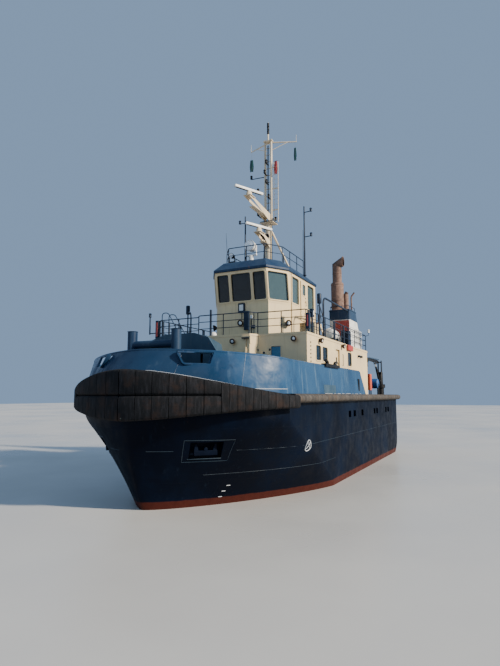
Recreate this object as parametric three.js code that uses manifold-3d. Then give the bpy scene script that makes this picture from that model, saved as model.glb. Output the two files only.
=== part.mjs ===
// Compact harbour tugboat, 26 m over its fenders, afloat.
// Millimetres. +X is the bow, +Y is port, +Z is up. The origin is amidships on the centreline,
// at the waterline.
import * as THREE from 'three';
import { mergeVertices } from 'three/addons/utils/BufferGeometryUtils.js';
import Module from 'manifold-3d';

const wasm = await Module();
wasm.setup();

// Driving dimensions
const GAP = 0.3;                 // left between pieces that touch
const MAIN_DECK = 2800;          // height of the after deck
const FORE_DECK = 4050;          // height of the raised fore deck
const DECK_STEP = -3100;         // where the raised deck ends
const HOUSE_TOP = 6780;          // top of the deckhouse
const WHEELHOUSE_FLOOR = 7800;
const EAVES = 10250;             // head of the wheelhouse walls
const ROOF_TOP = 10860;
const WALL = 90;                 // steel wall with its lining
const MAST_PLATFORM = 13840;
const YARD_HEIGHT = 18900;
const MAST_TOP = 20060;
const RAIL_HEIGHT = 1020;
const ROOF_RAIL_HEIGHT = 880;

// Waterlines of the hull: height, transom, start of the bow curve, stem, half breadth, and the
// fullness of the bow curve (2 would be an ellipse, 1 a straight line)
const WATERLINES = [
  { z: -2600, transom: -4400, shoulder: 500, stem: 8900, half: 1900, fullness: 1.3 },
  { z: -2150, transom: -5800, shoulder: 900, stem: 9300, half: 3500, fullness: 1.3 },
  { z: -1300, transom: -9200, shoulder: 1700, stem: 10050, half: 4250, fullness: 1.3 },
  { z: -450, transom: -12300, shoulder: 2700, stem: 10680, half: 4520, fullness: 1.28 },
  { z: 500, transom: -13250, shoulder: 3700, stem: 11180, half: 4600, fullness: 1.32 },
  { z: 1600, transom: -13300, shoulder: 5600, stem: 11600, half: 4620, fullness: 1.42 },
  { z: 3100, transom: -13300, shoulder: 8500, stem: 11950, half: 4620, fullness: 1.57 },
  { z: FORE_DECK, transom: -13300, shoulder: 8500, stem: 11950, half: 4620, fullness: 1.57 },
];
const BULWARK_TOP = { shoulder: 8300, stem: 11330, half: 4540, fullness: 1.57 };
const TRANSOM_CORNER = 1000;     // plan radius of the stern corners
const BOW_STEPS = 12;

const FENDER_THICKNESS = 420;
const STRAKE_FOOT = 3700;
const STRAKE_HEAD = 4050;
const STRAKE_DEPTH = 330;
const BULWARK_THICKNESS = 90;

// Solids

// A closed mesh as a solid for cutting and joining, turned right way out if it is inside out.
function solid(geometry) {
  const bare = geometry.clone();
  bare.deleteAttribute('normal');
  bare.deleteAttribute('uv');
  const merged = mergeVertices(bare, 1e-3);
  const points = merged.attributes.position.array;
  const faces = Uint32Array.from(merged.index.array);
  let volume = 0;
  const corner = [new THREE.Vector3(), new THREE.Vector3(), new THREE.Vector3()];
  for (let i = 0; i < faces.length; i += 3) {
    corner.forEach((v, k) => v.fromArray(points, faces[i + k] * 3));
    volume += corner[0].dot(corner[1].cross(corner[2]));
  }
  if (volume < 0) {
    for (let i = 0; i < faces.length; i += 3) {
      [faces[i], faces[i + 1]] = [faces[i + 1], faces[i]];
    }
  }
  return new wasm.Manifold(new wasm.Mesh({
    numProp: 3, vertProperties: Float32Array.from(points), triVerts: faces,
  }));
}

function geometryOf(body) {
  const mesh = body.getMesh();
  const geometry = new THREE.BufferGeometry();
  const points = Float32Array.from(mesh.vertProperties);
  geometry.setAttribute('position', new THREE.BufferAttribute(points, 3));
  geometry.setIndex(new THREE.BufferAttribute(Uint32Array.from(mesh.triVerts), 1));
  geometry.computeVertexNormals();
  return geometry;
}

function join(...bodies) {
  return bodies.flat().reduce((whole, next) => whole.add(next));
}

function cut(body, ...tools) {
  return tools.flat().reduce((rest, tool) => rest.subtract(tool), body);
}

// The body carried by a matrix, also by one that mirrors.
function carried(body, matrix) {
  return solid(geometryOf(body).applyMatrix4(matrix));
}

const moved = (body, x, y, z) => carried(body, new THREE.Matrix4().makeTranslation(x, y, z));
const mirrored = (body) => carried(body, new THREE.Matrix4().makeScale(1, -1, 1));

function box([x0, x1], [y0, y1], [z0, z1]) {
  const geometry = new THREE.BoxGeometry(x1 - x0, y1 - y0, z1 - z0);
  geometry.translate((x0 + x1) / 2, (y0 + y1) / 2, (z0 + z1) / 2);
  return solid(geometry);
}

// A round bar between two points, with its own radius at each end.
function rod(from, to, radius, sides = 8, endRadius = radius, turn = 0) {
  const start = new THREE.Vector3(...from);
  const along = new THREE.Vector3(...to).sub(start);
  const geometry = new THREE.CylinderGeometry(endRadius, radius, along.length(), sides);
  geometry.rotateY(turn);
  geometry.translate(0, along.length() / 2, 0);
  geometry.applyQuaternion(new THREE.Quaternion().setFromUnitVectors(
    new THREE.Vector3(0, 1, 0), along.clone().normalize()));
  geometry.translate(...start);
  return solid(geometry);
}

function extrusion(points, depth) {
  const shape = new THREE.Shape(points.map(([x, y]) => new THREE.Vector2(x, y)));
  return new THREE.ExtrudeGeometry(shape, { depth, bevelEnabled: false });
}

// Plan outline (x, y) raised from z0 to z1.
const prism = (points, [z0, z1]) => solid(extrusion(points, z1 - z0).translate(0, 0, z0));

// Side view outline (x, z) from y0 to y1.
const sidePrism = (points, [y0, y1]) =>
  solid(extrusion(points, y1 - y0).rotateX(Math.PI / 2).translate(0, y1, 0));

// Front view outline (y, z) from x0 to x1.
function frontPrism(points, [x0, x1]) {
  const turn = new THREE.Matrix4().makeBasis(
    new THREE.Vector3(0, 1, 0), new THREE.Vector3(0, 0, 1), new THREE.Vector3(1, 0, 0));
  return solid(extrusion(points, x1 - x0).applyMatrix4(turn).translate(x0, 0, 0));
}

// A skin through rings of equal count, closed at both ends.
function loft(rings) {
  const count = rings[0].length;
  const faces = [];
  for (let r = 0; r < rings.length - 1; r += 1) {
    for (let i = 0; i < count; i += 1) {
      const low = r * count + i;
      const next = r * count + (i + 1) % count;
      faces.push(low, next, next + count, low, next + count, low + count);
    }
  }
  const cap = (base, flip) => {
    let left = 0;
    let right = count - 1;
    const add = (a, b, c) => {
      const order = flip ? [a, c, b] : [a, b, c];
      faces.push(...order.map((i) => base + i));
    };
    while (right - left > 1) {
      add(left, left + 1, right);
      left += 1;
      if (right - left > 1) {
        add(left, right - 1, right);
        right -= 1;
      }
    }
  };
  cap(0, true);
  cap((rings.length - 1) * count, false);
  const geometry = new THREE.BufferGeometry();
  geometry.setAttribute('position', new THREE.BufferAttribute(new Float32Array(rings.flat(2)), 3));
  geometry.setIndex(faces);
  return solid(geometry);
}

// A closed profile of (radius, height) turned about the vertical.
function turned(profile, sides) {
  const points = [...profile, profile[0]].map(([r, h]) => new THREE.Vector2(r, h));
  const geometry = new THREE.LatheGeometry(points, sides);
  geometry.rotateX(Math.PI / 2);
  return solid(geometry);
}

// The bow curve of a waterline, from the port shoulder round the stem to the starboard one:
// x = shoulder + reach * cos(a)^(2/fullness), y = half * sin(a)^(2/fullness)
function bowCurve(line, steps = BOW_STEPS) {
  const power = 2 / line.fullness;
  const points = [];
  for (let i = steps; i >= -steps; i -= 1) {
    const angle = (i / steps) * (Math.PI / 2);
    const c = Math.max(Math.cos(angle), 0);
    const s = Math.sin(angle);
    points.push([
      line.shoulder + (line.stem - line.shoulder) * c ** power,
      line.half * Math.sign(s) * Math.abs(s) ** power,
    ]);
  }
  return points;
}

// The stern curve, from the starboard side round the transom to the port side.
function sternCurve(line) {
  const radius = Math.min(TRANSOM_CORNER, line.half * 0.5);
  const corner = [0, 30, 60, 90].map((degrees) => {
    const angle = THREE.MathUtils.degToRad(degrees);
    return [line.transom + radius * (1 - Math.sin(angle)), line.half - radius * (1 - Math.cos(angle))];
  });
  const starboard = corner.map(([x, y]) => [x, -y]);
  return [...starboard, ...corner.toReversed()];
}

// The whole outline, anticlockwise from above, from the port shoulder aft.
const outline = (line) => [...bowCurve(line).toReversed(), ...sternCurve(line).toReversed()];

// A path of (x, y) set off to its right hand side by a distance.
function setOff(path, distance, closed = false) {
  return path.map(([x, y], i) => {
    const last = path.length - 1;
    const before = path[closed ? (i + last) % path.length : Math.max(i - 1, 0)];
    const after = path[closed ? (i + 1) % path.length : Math.min(i + 1, last)];
    const one = new THREE.Vector2(x - before[0], y - before[1]).normalize();
    const two = new THREE.Vector2(after[0] - x, after[1] - y).normalize();
    if (one.length() === 0) one.copy(two);
    if (two.length() === 0) two.copy(one);
    const along = one.clone().add(two).normalize();
    const reach = distance / Math.max(along.dot(one), 0.5);
    return [x + along.y * reach, y - along.x * reach];
  });
}

function waterline(z) {
  const above = Math.max(WATERLINES.findIndex((line) => line.z >= z), 1);
  const [low, high] = [WATERLINES[above - 1], WATERLINES[above]];
  const part = (z - low.z) / (high.z - low.z);
  const mix = (name) => low[name] + (high[name] - low[name]) * part;
  return {
    z, transom: mix('transom'), shoulder: mix('shoulder'), stem: mix('stem'),
    half: mix('half'), fullness: mix('fullness'),
  };
}

const atHeight = (ring, z) => ring.map(([x, y]) => [x, y, z]);

// Pieces are kept in this list: name, body, colour, roughness, metalness
const pieces = [];
function piece(name, body, colour, roughness = 0.6, metalness = 0.1) {
  pieces.push({ name, body, colour, roughness, metalness });
}

const NAVY = 0x1a2433;
const BULWARK_BLUE = 0x3f6286;
const FENDER_BLACK = 0x2a2320;
const STRAKE_BROWN = 0x55504a;
const CREAM = 0xe6d7b8;
const ROOF_BLUE = 0x24486e;
const GEAR_BLUE = 0x6d8090;
const DECK_GREEN = 0x3d5a50;
const EXHAUST_RUST = 0x6b4433;
const GLASS_DARK = 0x223038;
const BRONZE = 0x9a7b3c;
const WHITE = 0xe8e8e2;

// A weathertight door. In its own frame the hinge pin stands at the origin, the leaf reaches
// along +X and the wall's outer face is at y = -PIN_OFF; +Y is outside.
const LEAF = 50;                 // leaf thickness
const DOOR_CLEAR = 6;            // between leaf and wall
const PIN_OFF = LEAF / 2 + DOOR_CLEAR;
const BARREL = 22;

function doorLeaf(width, height, window) {
  let leaf = box([0, width], [-LEAF / 2, LEAF / 2], [0, height]);
  if (window) {
    const [x0, x1, z0, z1] = window;
    leaf = cut(leaf, box([x0, x1], [-LEAF, LEAF], [z0, z1]));
  }
  const barrels = [0.15, 0.75].map((part) => rod(
    [0, 0, height * part], [0, 0, height * part + 120], BARREL, 8));
  const handle = join(
    box([width - 130, width - 100], [LEAF / 2, LEAF / 2 + 60], [height * 0.5, height * 0.5 + 30]),
    box([width - 250, width - 100], [LEAF / 2 + 40, LEAF / 2 + 60], [height * 0.5, height * 0.5 + 30]));
  return join(leaf, barrels, handle);
}

function doorLugs(height) {
  return [0.15, 0.75].map((part) => box(
    [-BARREL - 4, -3], [-PIN_OFF - 20, -14], [height * part - 50 - GAP, height * part - GAP]));
}

function doorHole(width, height) {
  return box([45, width - 45], [-PIN_OFF - 2 * WALL, -PIN_OFF + 5], [45, height - 45]);
}

// Where a door stands: hinge pin (x, y, sill), direction of the leaf, direction of outside.
function doorFrame({ pin, along, out }) {
  return new THREE.Matrix4().makeBasis(
    new THREE.Vector3(...along, 0), new THREE.Vector3(...out, 0), new THREE.Vector3(0, 0, 1),
  ).setPosition(...pin);
}

// Hull

// Freeing ports, by the middle of each: through the raised hull and through the after bulwark
const RAISED_PORTS = [400, -550, -2200];
const AFTER_PORTS = [-5200, -5900, -8600, -9350];
const PORT = { half: 230, foot: 2900, head: 3220 };

const SKEG_DEPTH = 750;
const THRUSTER = { x: -10600, y: 2150, seat: -1500, shaft: -2800 };
const ANCHOR_POCKET = { x: 10400, y: 2250, z: 2080, length: 1150, height: 640, depth: 320 };

function hull() {
  const heights = [...WATERLINES.map((line) => line.z).filter((z) => z < MAIN_DECK), MAIN_DECK];
  const shell = loft(heights.map((z) => atHeight(outline(waterline(z)), z)));
  const skeg = sidePrism([
    [7000, -2500], [6300, -2600 - SKEG_DEPTH], [-7900, -2600 - SKEG_DEPTH],
    [-8600, -2200], [-8600, -1200], [-3000, -1200],
  ], [-130, 130]);
  const headBoxes = [-1, 1].map((side) => rod(
    [THRUSTER.x, side * THRUSTER.y, THRUSTER.seat], [THRUSTER.x, side * THRUSTER.y, 0], 780, 20));
  const pockets = [-1, 1].map((side) => anchorPocket(side));
  return cut(join(shell, skeg, headBoxes), pockets);
}

// The recess in the bow that takes the anchor's crown; it looks out square to the bow plating.
const BOW_ANGLE = THREE.MathUtils.degToRad(47);
function pocketFrame(side) {
  const { x, y, z } = ANCHOR_POCKET;
  return new THREE.Matrix4().makeBasis(
    new THREE.Vector3(-Math.sin(BOW_ANGLE), side * Math.cos(BOW_ANGLE), 0),
    new THREE.Vector3(Math.cos(BOW_ANGLE), side * Math.sin(BOW_ANGLE), 0),
    new THREE.Vector3(0, 0, 1),
  ).setPosition(x, side * y, z);
}

function anchorPocket(side) {
  const { length, height, depth } = ANCHOR_POCKET;
  const recess = box([-length / 2, length / 2], [-depth, 900], [-height / 2, height / 2]);
  return carried(recess, pocketFrame(side));
}

function anchor(side) {
  const back = -ANCHOR_POCKET.depth + GAP;
  const shank = rod([0, back, 60], [0, back + 300, 60], 70, 8);
  const crown = box([-420, 420], [back + 180, back + 300], [-150, 20]);
  const flukes = [-1, 1].map((end) => sidePrism(
    [[end * 260, -20], [end * 420, -20], [end * 380, 260], [end * 330, 260]],
    [back + 190, back + 290]));
  return carried(join(shank, crown, flukes), pocketFrame(side));
}

function raisedHull() {
  const ring = (z) => {
    const line = waterline(z);
    const bow = bowCurve(line).toReversed();
    return atHeight([...bow, [DECK_STEP, line.half], [DECK_STEP, -line.half]], z);
  };
  const body = loft([MAIN_DECK + GAP, 3100, FORE_DECK].map(ring));
  const ports = RAISED_PORTS.flatMap((x) => [-1, 1].map((side) => {
    const [inner, outer] = [4620 - 140, 4620 + 60].map((y) => side * y).sort((a, b) => a - b);
    return box([x - PORT.half, x + PORT.half], [inner, outer], [PORT.foot, PORT.head]);
  }));
  return cut(body, ports);
}

function afterBulwark() {
  const line = waterline(3500);
  const outer = [[DECK_STEP - GAP, -line.half], ...sternCurve(line), [DECK_STEP - GAP, line.half]];
  const inner = setOff(outer, BULWARK_THICKNESS);
  const wall = prism([...outer, ...inner.toReversed()], [MAIN_DECK + GAP, FORE_DECK]);
  const ports = AFTER_PORTS.map((x) => (
    box([x - PORT.half, x + PORT.half], [-6000, 6000], [PORT.foot, PORT.head])));
  return cut(wall, ports);
}

// Height of the forward bulwark and of its fender, by how far round the bow curve they are.
const bowPart = (line, x) => Math.max((x - line.shoulder) / (line.stem - line.shoulder), 0);
const fenderHead = (part) => 3990 + 880 * part ** 1.6;
const fenderFoot = (part) => 3530 - 410 * part ** 2.4;
const bulwarkHead = (part) => 5280 + 300 * part;

function forwardBulwark() {
  const deck = waterline(FORE_DECK);
  const footPath = bowCurve(deck);
  const topPath = bowCurve(BULWARK_TOP);
  const ends = [[DECK_STEP, 60], [-2200, 1240], [3000, 1230]];   // x, height of the top over the deck
  const stations = [
    ...ends.map(([x, rise]) => (
      { foot: [x, deck.half], top: [x, BULWARK_TOP.half], head: FORE_DECK + rise, part: 0 })),
    ...footPath.map((foot, i) => {
      const part = bowPart(deck, foot[0]);
      return { foot, top: topPath[i], head: bulwarkHead(part), part };
    }),
    ...ends.toReversed().map(([x, rise]) => (
      { foot: [x, -deck.half], top: [x, -BULWARK_TOP.half], head: FORE_DECK + rise, part: 0 })),
  ];
  const inset = (path) => setOff(path, BULWARK_THICKNESS, false);
  const feet = stations.map((s) => s.foot);
  const tops = stations.map((s) => s.top);
  const innerFeet = inset(feet);
  const innerTops = inset(tops);
  const rings = stations.map((s, i) => {
    const foot = FORE_DECK + GAP;
    const knuckle = Math.min(Math.max(fenderHead(s.part), FORE_DECK + 150), (foot + s.head) / 2);
    const lean = (a, b, z) => {
      const share = (z - knuckle) / (s.head - knuckle);
      return [a[0] + (b[0] - a[0]) * share, a[1] + (b[1] - a[1]) * share, z];
    };
    return [
      [...feet[i], foot], [...feet[i], knuckle], lean(feet[i], tops[i], s.head),
      lean(innerFeet[i], innerTops[i], s.head), [...innerFeet[i], knuckle], [...innerFeet[i], foot],
    ];
  });
  const hawses = [-1, 1].map((side) => carried(
    sidePrism([[-620, 200], [-450, -200], [450, -200], [620, 200]], [-700, 700]),
    new THREE.Matrix4().makeBasis(
      new THREE.Vector3(-Math.sin(BOW_ANGLE), side * Math.cos(BOW_ANGLE), 0),
      new THREE.Vector3(Math.cos(BOW_ANGLE), side * Math.sin(BOW_ANGLE), 0),
      new THREE.Vector3(0, 0, 1),
    ).setPosition(10860, side * 2090, 5270)));
  return cut(loft(rings), hawses);
}

function bowFender() {
  const deck = waterline(FORE_DECK);
  const path = bowCurve(deck);
  const inner = setOff(path, -GAP);
  const face = setOff(path, -GAP - FENDER_THICKNESS);
  const shy = setOff(path, -GAP - FENDER_THICKNESS + 90);
  return loft(path.map(([x], i) => {
    const part = bowPart(deck, x);
    const [foot, head] = [fenderFoot(part), fenderHead(part)];
    return [
      [...inner[i], foot], [...shy[i], foot], [...face[i], foot + 90],
      [...face[i], head - 90], [...shy[i], head], [...inner[i], head],
    ];
  }));
}

// The D section rubbing strake, from one shoulder round the stern to the other.
function rubbingStrake() {
  const line = waterline(3800);
  const start = line.shoulder - GAP;
  const path = [
    [start, -line.half], [DECK_STEP, -line.half], ...sternCurve(line), [DECK_STEP, line.half],
    [start, line.half],
  ];
  const middle = (STRAKE_FOOT + STRAKE_HEAD) / 2;
  // depth, height of each corner of the D
  const section = [
    [GAP, STRAKE_FOOT], [STRAKE_DEPTH * 0.6, STRAKE_FOOT + 15], [STRAKE_DEPTH * 0.93, STRAKE_FOOT + 90],
    [STRAKE_DEPTH, middle], [STRAKE_DEPTH * 0.93, STRAKE_HEAD - 90], [STRAKE_DEPTH * 0.6, STRAKE_HEAD - 15],
    [GAP, STRAKE_HEAD],
  ];
  const paths = section.map(([depth]) => setOff(path, -depth));
  return loft(path.map((_, i) => section.map(([, z], k) => [...paths[k][i], z])));
}

piece('hull', hull(), NAVY);
piece('raised_foredeck', raisedHull(), NAVY);
piece('bulwark_aft', afterBulwark(), NAVY);
piece('bulwark_forward', forwardBulwark(), BULWARK_BLUE);
piece('bow_fender', bowFender(), FENDER_BLACK, 0.9, 0);
piece('rubbing_strake', rubbingStrake(), STRAKE_BROWN, 0.9, 0);
piece('anchor_port', anchor(1), GEAR_BLUE);
piece('anchor_starboard', anchor(-1), GEAR_BLUE);

// Deckhouse

const HOUSE = { front: 4900, nose: 5300, noseHalf: 1400, aft: -6300, half: 4000 };
const TOP_SLAB = 100;
const TOP_LIP = 20;              // the top stands proud of the walls
const HOUSE_HEAD = HOUSE_TOP - TOP_SLAB - GAP;
const HOUSE_DOOR = { width: 800, height: 2080, sill: 4320, pinX: 600 };
const AFT_DOOR = { width: 850, height: 1950, sill: 3050, pinY: 1900 };
// windows of each house side: from x, to x, sill, head
const HOUSE_WINDOWS = [[2980, 3720, 5590, 6300], [1960, 2760, 5590, 6300], [-2500, -1660, 5590, 6370]];
// windows of the front: middle, half width
const NOSE_WINDOWS = [-900, 0, 900].map((y) => [y, 230]);
const FRONT_WINDOWS = [-2520, 2520].map((y) => [y, 230]);
const AFT_WINDOWS = [-2600, -400, 2800].map((y) => [y, 230]);
// openings through a wall that faces ahead or astern
const openings = (rows, x, height) => rows.map(([y, w]) => box([x - 200, x + 200], [y - w, y + w], height));

function houseFront() {
  const { front, nose, noseHalf, half } = HOUSE;
  const outer = [
    [front, -half], [front, -noseHalf - 250], [nose, -noseHalf], [nose, noseHalf],
    [front, noseHalf + 250], [front, half],
  ];
  const inner = setOff(outer, -WALL);
  const wall = prism([...outer, ...inner.toReversed()], [FORE_DECK + GAP, HOUSE_HEAD]);
  return cut(wall, openings(NOSE_WINDOWS, nose, [5250, 5850]), openings(FRONT_WINDOWS, front, [5550, 6180]));
}

function houseSide() {
  const { front, aft, half } = HOUSE;
  const wall = sidePrism([
    [aft, MAIN_DECK + GAP], [DECK_STEP - GAP, MAIN_DECK + GAP], [DECK_STEP - GAP, FORE_DECK + GAP],
    [front - WALL - GAP, FORE_DECK + GAP], [front - WALL - GAP, HOUSE_HEAD], [aft, HOUSE_HEAD],
  ], [half - WALL, half]);
  const windows = HOUSE_WINDOWS.map(([x0, x1, z0, z1]) => (
    box([x0, x1], [half - 2 * WALL, half + WALL], [z0, z1])));
  const { width, height } = HOUSE_DOOR;
  const frame = doorFrame(housePortDoor);
  return join(
    cut(wall, windows, carried(doorHole(width, height), frame)),
    doorLugs(height).map((lug) => carried(lug, frame)));
}

function houseAft() {
  const { aft, half } = HOUSE;
  const inside = half - WALL - GAP;
  const wall = box([aft, aft + WALL], [-inside, inside], [MAIN_DECK + GAP, HOUSE_HEAD]);
  const { width, height } = AFT_DOOR;
  const frame = doorFrame(houseAftDoor);
  return join(
    cut(wall, openings(AFT_WINDOWS, aft, [4400, 5000]), carried(doorHole(width, height), frame)),
    doorLugs(height).map((lug) => carried(lug, frame)));
}

const housePortDoor = {
  pin: [HOUSE_DOOR.pinX, HOUSE.half - WALL - PIN_OFF, HOUSE_DOOR.sill], along: [-1, 0], out: [0, -1],
};
const houseAftDoor = {
  pin: [HOUSE.aft - PIN_OFF, AFT_DOOR.pinY, AFT_DOOR.sill], along: [0, -1], out: [-1, 0],
};

function houseTop() {
  const { front, nose, noseHalf, aft, half } = HOUSE;
  return prism(setOff([
    [aft, -half], [front, -half], [front, -noseHalf - 250], [nose, -noseHalf],
    [nose, noseHalf], [front, noseHalf + 250], [front, half], [aft, half],
  ], TOP_LIP, true), [HOUSE_TOP - TOP_SLAB, HOUSE_TOP]);
}

const houseDoorLeaf = doorLeaf(HOUSE_DOOR.width, HOUSE_DOOR.height, [250, 550, 1250, 1650]);
piece('deckhouse_front', houseFront(), CREAM);
piece('deckhouse_port', houseSide(), CREAM);
piece('deckhouse_starboard', mirrored(houseSide()), CREAM);
piece('deckhouse_aft', houseAft(), CREAM);
piece('deckhouse_top', houseTop(), CREAM);
piece('deckhouse_door_port', carried(houseDoorLeaf, doorFrame(housePortDoor)), CREAM);
piece('deckhouse_door_starboard', mirrored(carried(houseDoorLeaf, doorFrame(housePortDoor))), CREAM);
piece('deckhouse_door_aft', carried(
  doorLeaf(AFT_DOOR.width, AFT_DOOR.height, [275, 575, 1250, 1650]), doorFrame(houseAftDoor)), CREAM);

// Wheelhouse

const BRIDGE = {
  front: 3300, frontHalf: 1450, corner: 2150, half: 2150, aft: -1750, rake: 280, sill: 8720, head: 10120,
};
const BRIDGE_WALL = 80;
const BRIDGE_DOOR = { width: 800, height: 2150, sill: 7950, pinX: 700 };
const bridgeDoor = {
  pin: [BRIDGE_DOOR.pinX, BRIDGE.half + PIN_OFF, BRIDGE_DOOR.sill], along: [-1, 0], out: [0, 1],
};
// The front and its corners lean out above the window sills.
const bridgeKnuckle = BRIDGE.sill - 200;
const leanSlope = BRIDGE.rake / (EAVES - bridgeKnuckle);
const bridgeLean = (z) => leanSlope * Math.max(z - bridgeKnuckle, 0);
function bridgePlan(out, z) {
  const { front, frontHalf, corner, half, aft } = BRIDGE;
  const lean = bridgeLean(z);
  return setOff([
    [front + lean, -frontHalf], [front + lean, frontHalf], [corner + lean, half], [aft, half], [aft, -half],
    [corner + lean, -half],
  ], out, true);
}
const bridgeRing = (out, z) => atHeight(bridgePlan(out, z), z);

function bridgeShell() {
  const outer = loft([HOUSE_TOP + GAP, bridgeKnuckle, EAVES].map((z) => bridgeRing(0, z)));
  const inner = loft([HOUSE_TOP - 100, bridgeKnuckle, EAVES + 10].map((z) => bridgeRing(-BRIDGE_WALL, z)));
  return cut(outer, inner);
}

// Windows: three in front, one in each slanting corner, two in each side with a door between.
// Those in front are cut square to the upright plan and sheared forward with the wall.
const FRONT_PANES = [[-1020, 345], [0, 560], [1020, 345]];   // middle, half width
const CORNER_MARGIN = 55;
const SIDE_PANES = [[900, 2070], [-1500, -420]];             // from x, to x
function bridgeWindows() {
  const { sill, head, front, frontHalf, corner, half } = BRIDGE;
  const height = [sill, head];
  const fronts = FRONT_PANES.map(([y, w]) => box([front - 400, front + 400], [y - w, y + w], height));
  const slant = new THREE.Vector2(front - corner, frontHalf - half);
  const middle = [(front + corner) / 2, (frontHalf + half) / 2];
  const width = slant.length() / 2 - CORNER_MARGIN;
  const corners = [-1, 1].map((side) => carried(
    box([-width, width], [-400, 400], height),
    new THREE.Matrix4().makeRotationZ(side * slant.angle()).setPosition(middle[0], side * middle[1], 0)));
  const shear = new THREE.Matrix4().makeShear(0, 0, 0, 0, leanSlope, 0)
    .multiply(new THREE.Matrix4().makeTranslation(-leanSlope * bridgeKnuckle, 0, 0));
  return [...fronts, ...corners].map((pane) => carried(pane, shear));
}

function bridgeFront() {
  const region = box([BRIDGE.corner + 1, 5000], [-4000, 4000], [0, 20000]);
  return cut(bridgeShell().intersect(region), bridgeWindows());
}

function bridgeSide() {
  const { corner, half, aft, sill, head } = BRIDGE;
  const region = box([aft - 1, corner + 1 - GAP], [half - BRIDGE_WALL, half + 500], [0, 20000]);
  const wall = bridgeShell().intersect(region);
  const windows = SIDE_PANES.map((run) => box(run, [half - 400, half + 400], [sill, head]));
  const { width, height } = BRIDGE_DOOR;
  const frame = doorFrame(bridgeDoor);
  // landing outside the door with its steps down to the house top
  const landing = box([-250, 800], [half - 10, half + 850], [WHEELHOUSE_FLOOR - 60, WHEELHOUSE_FLOOR]);
  const step = WHEELHOUSE_FLOOR;
  const strings = [half + 60, half + 760].map((y) => sidePrism([
    [-250, step - 60], [-250, step], [-400, step], [-1150, HOUSE_TOP + GAP],
    [-1000, HOUSE_TOP + GAP], [-330, step - 150], [800, step - 150], [800, step - 60],
  ], [y, y + 30]));
  const treads = [0, 1, 2].map((i) => box(
    [-620 - i * 190, -400 - i * 190], [half + 60, half + 790], [step - 290 - i * 255, step - 260 - i * 255]));
  return join(
    cut(wall, windows, carried(doorHole(width, height), frame)),
    doorLugs(height).map((lug) => carried(lug, frame)), landing, strings, treads);
}

function bridgeAft() {
  const { half, aft, sill, head } = BRIDGE;
  const inside = half - BRIDGE_WALL - GAP;
  const wall = box([aft, aft + BRIDGE_WALL], [-inside, inside], [HOUSE_TOP + GAP, EAVES]);
  const windows = [-1350, 0, 1350].map((y) => box([aft - 100, aft + 200], [y - 500, y + 500], [sill, head]));
  return cut(wall, windows);
}

function bridgeRoof() {
  const ring = (out, z) => atHeight(bridgePlan(out, EAVES), z);
  return loft([ring(40, EAVES + GAP), ring(70, EAVES + 40), ring(70, EAVES + 130), ring(-460, ROOF_TOP)]);
}

// One folded band of glass behind the window openings.
function bridgeGlass() {
  const outer = -BRIDGE_WALL - GAP;
  const [low, high] = [BRIDGE.sill - 50, BRIDGE.head + 50];
  return cut(
    loft([bridgeRing(outer, low), bridgeRing(outer, high)]),
    loft([bridgeRing(outer - 16, low - 10), bridgeRing(outer - 16, high + 10)]));
}

function bridgeFloor() {
  return prism(bridgePlan(-BRIDGE_WALL - GAP, 0), [WHEELHOUSE_FLOOR - 80, WHEELHOUSE_FLOOR]);
}

function console_() {
  return sidePrism([
    [1700, WHEELHOUSE_FLOOR + GAP], [2450, WHEELHOUSE_FLOOR + GAP], [2750, 8500], [2750, 8780],
    [2600, 8800], [1550, 8600], [1550, 8480], [1700, 8450],
  ], [-900, 900]);
}

function helmSeat() {
  return join(
    rod([900, 0, WHEELHOUSE_FLOOR + GAP], [900, 0, 8350], 60, 10),
    box([640, 1160], [-260, 260], [8340, 8450]),
    sidePrism([[640, 8440], [740, 8440], [640, 9150], [560, 9150]], [-250, 250]),
    [-330, 260].map((y) => box([700, 1080], [y, y + 70], [8560, 8640])),
    [-330, 260].map((y) => box([860, 920], [y, y + 70], [8340, 8600])));
}

const bridgeDoorLeaf = doorLeaf(BRIDGE_DOOR.width, BRIDGE_DOOR.height, [170, 630, 1400, 2000]);
piece('wheelhouse_front', bridgeFront(), CREAM);
piece('wheelhouse_port', bridgeSide(), CREAM);
piece('wheelhouse_starboard', mirrored(bridgeSide()), CREAM);
piece('wheelhouse_aft', bridgeAft(), CREAM);
piece('wheelhouse_roof', bridgeRoof(), ROOF_BLUE);
piece('wheelhouse_glass', bridgeGlass(), GLASS_DARK, 0.1, 0);
piece('wheelhouse_floor', bridgeFloor(), STRAKE_BROWN);
piece('wheelhouse_console', console_(), GEAR_BLUE);
piece('helm_seat', helmSeat(), FENDER_BLACK);
piece('wheelhouse_door_port', carried(bridgeDoorLeaf, doorFrame(bridgeDoor)), CREAM);
piece('wheelhouse_door_starboard', mirrored(carried(bridgeDoorLeaf, doorFrame(bridgeDoor))), CREAM);

// Railings: posts along a path of corners, with bars between them.
function railing(corners, base, height, barHeights, spacing, radius = 24) {
  const rods = [];
  for (let i = 0; i < corners.length - 1; i += 1) {
    const from = new THREE.Vector2(...corners[i]);
    const to = new THREE.Vector2(...corners[i + 1]);
    const count = Math.max(Math.round(from.distanceTo(to) / spacing), 1);
    for (let k = i === 0 ? 0 : 1; k <= count; k += 1) {
      const at = from.clone().lerp(to, k / count);
      rods.push(rod([at.x, at.y, base + GAP], [at.x, at.y, base + height], radius, 6));
    }
    for (const z of barHeights) {
      rods.push(rod([from.x, from.y, base + z], [to.x, to.y, base + z], radius * 0.9, 6));
    }
  }
  return join(rods);
}

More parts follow.
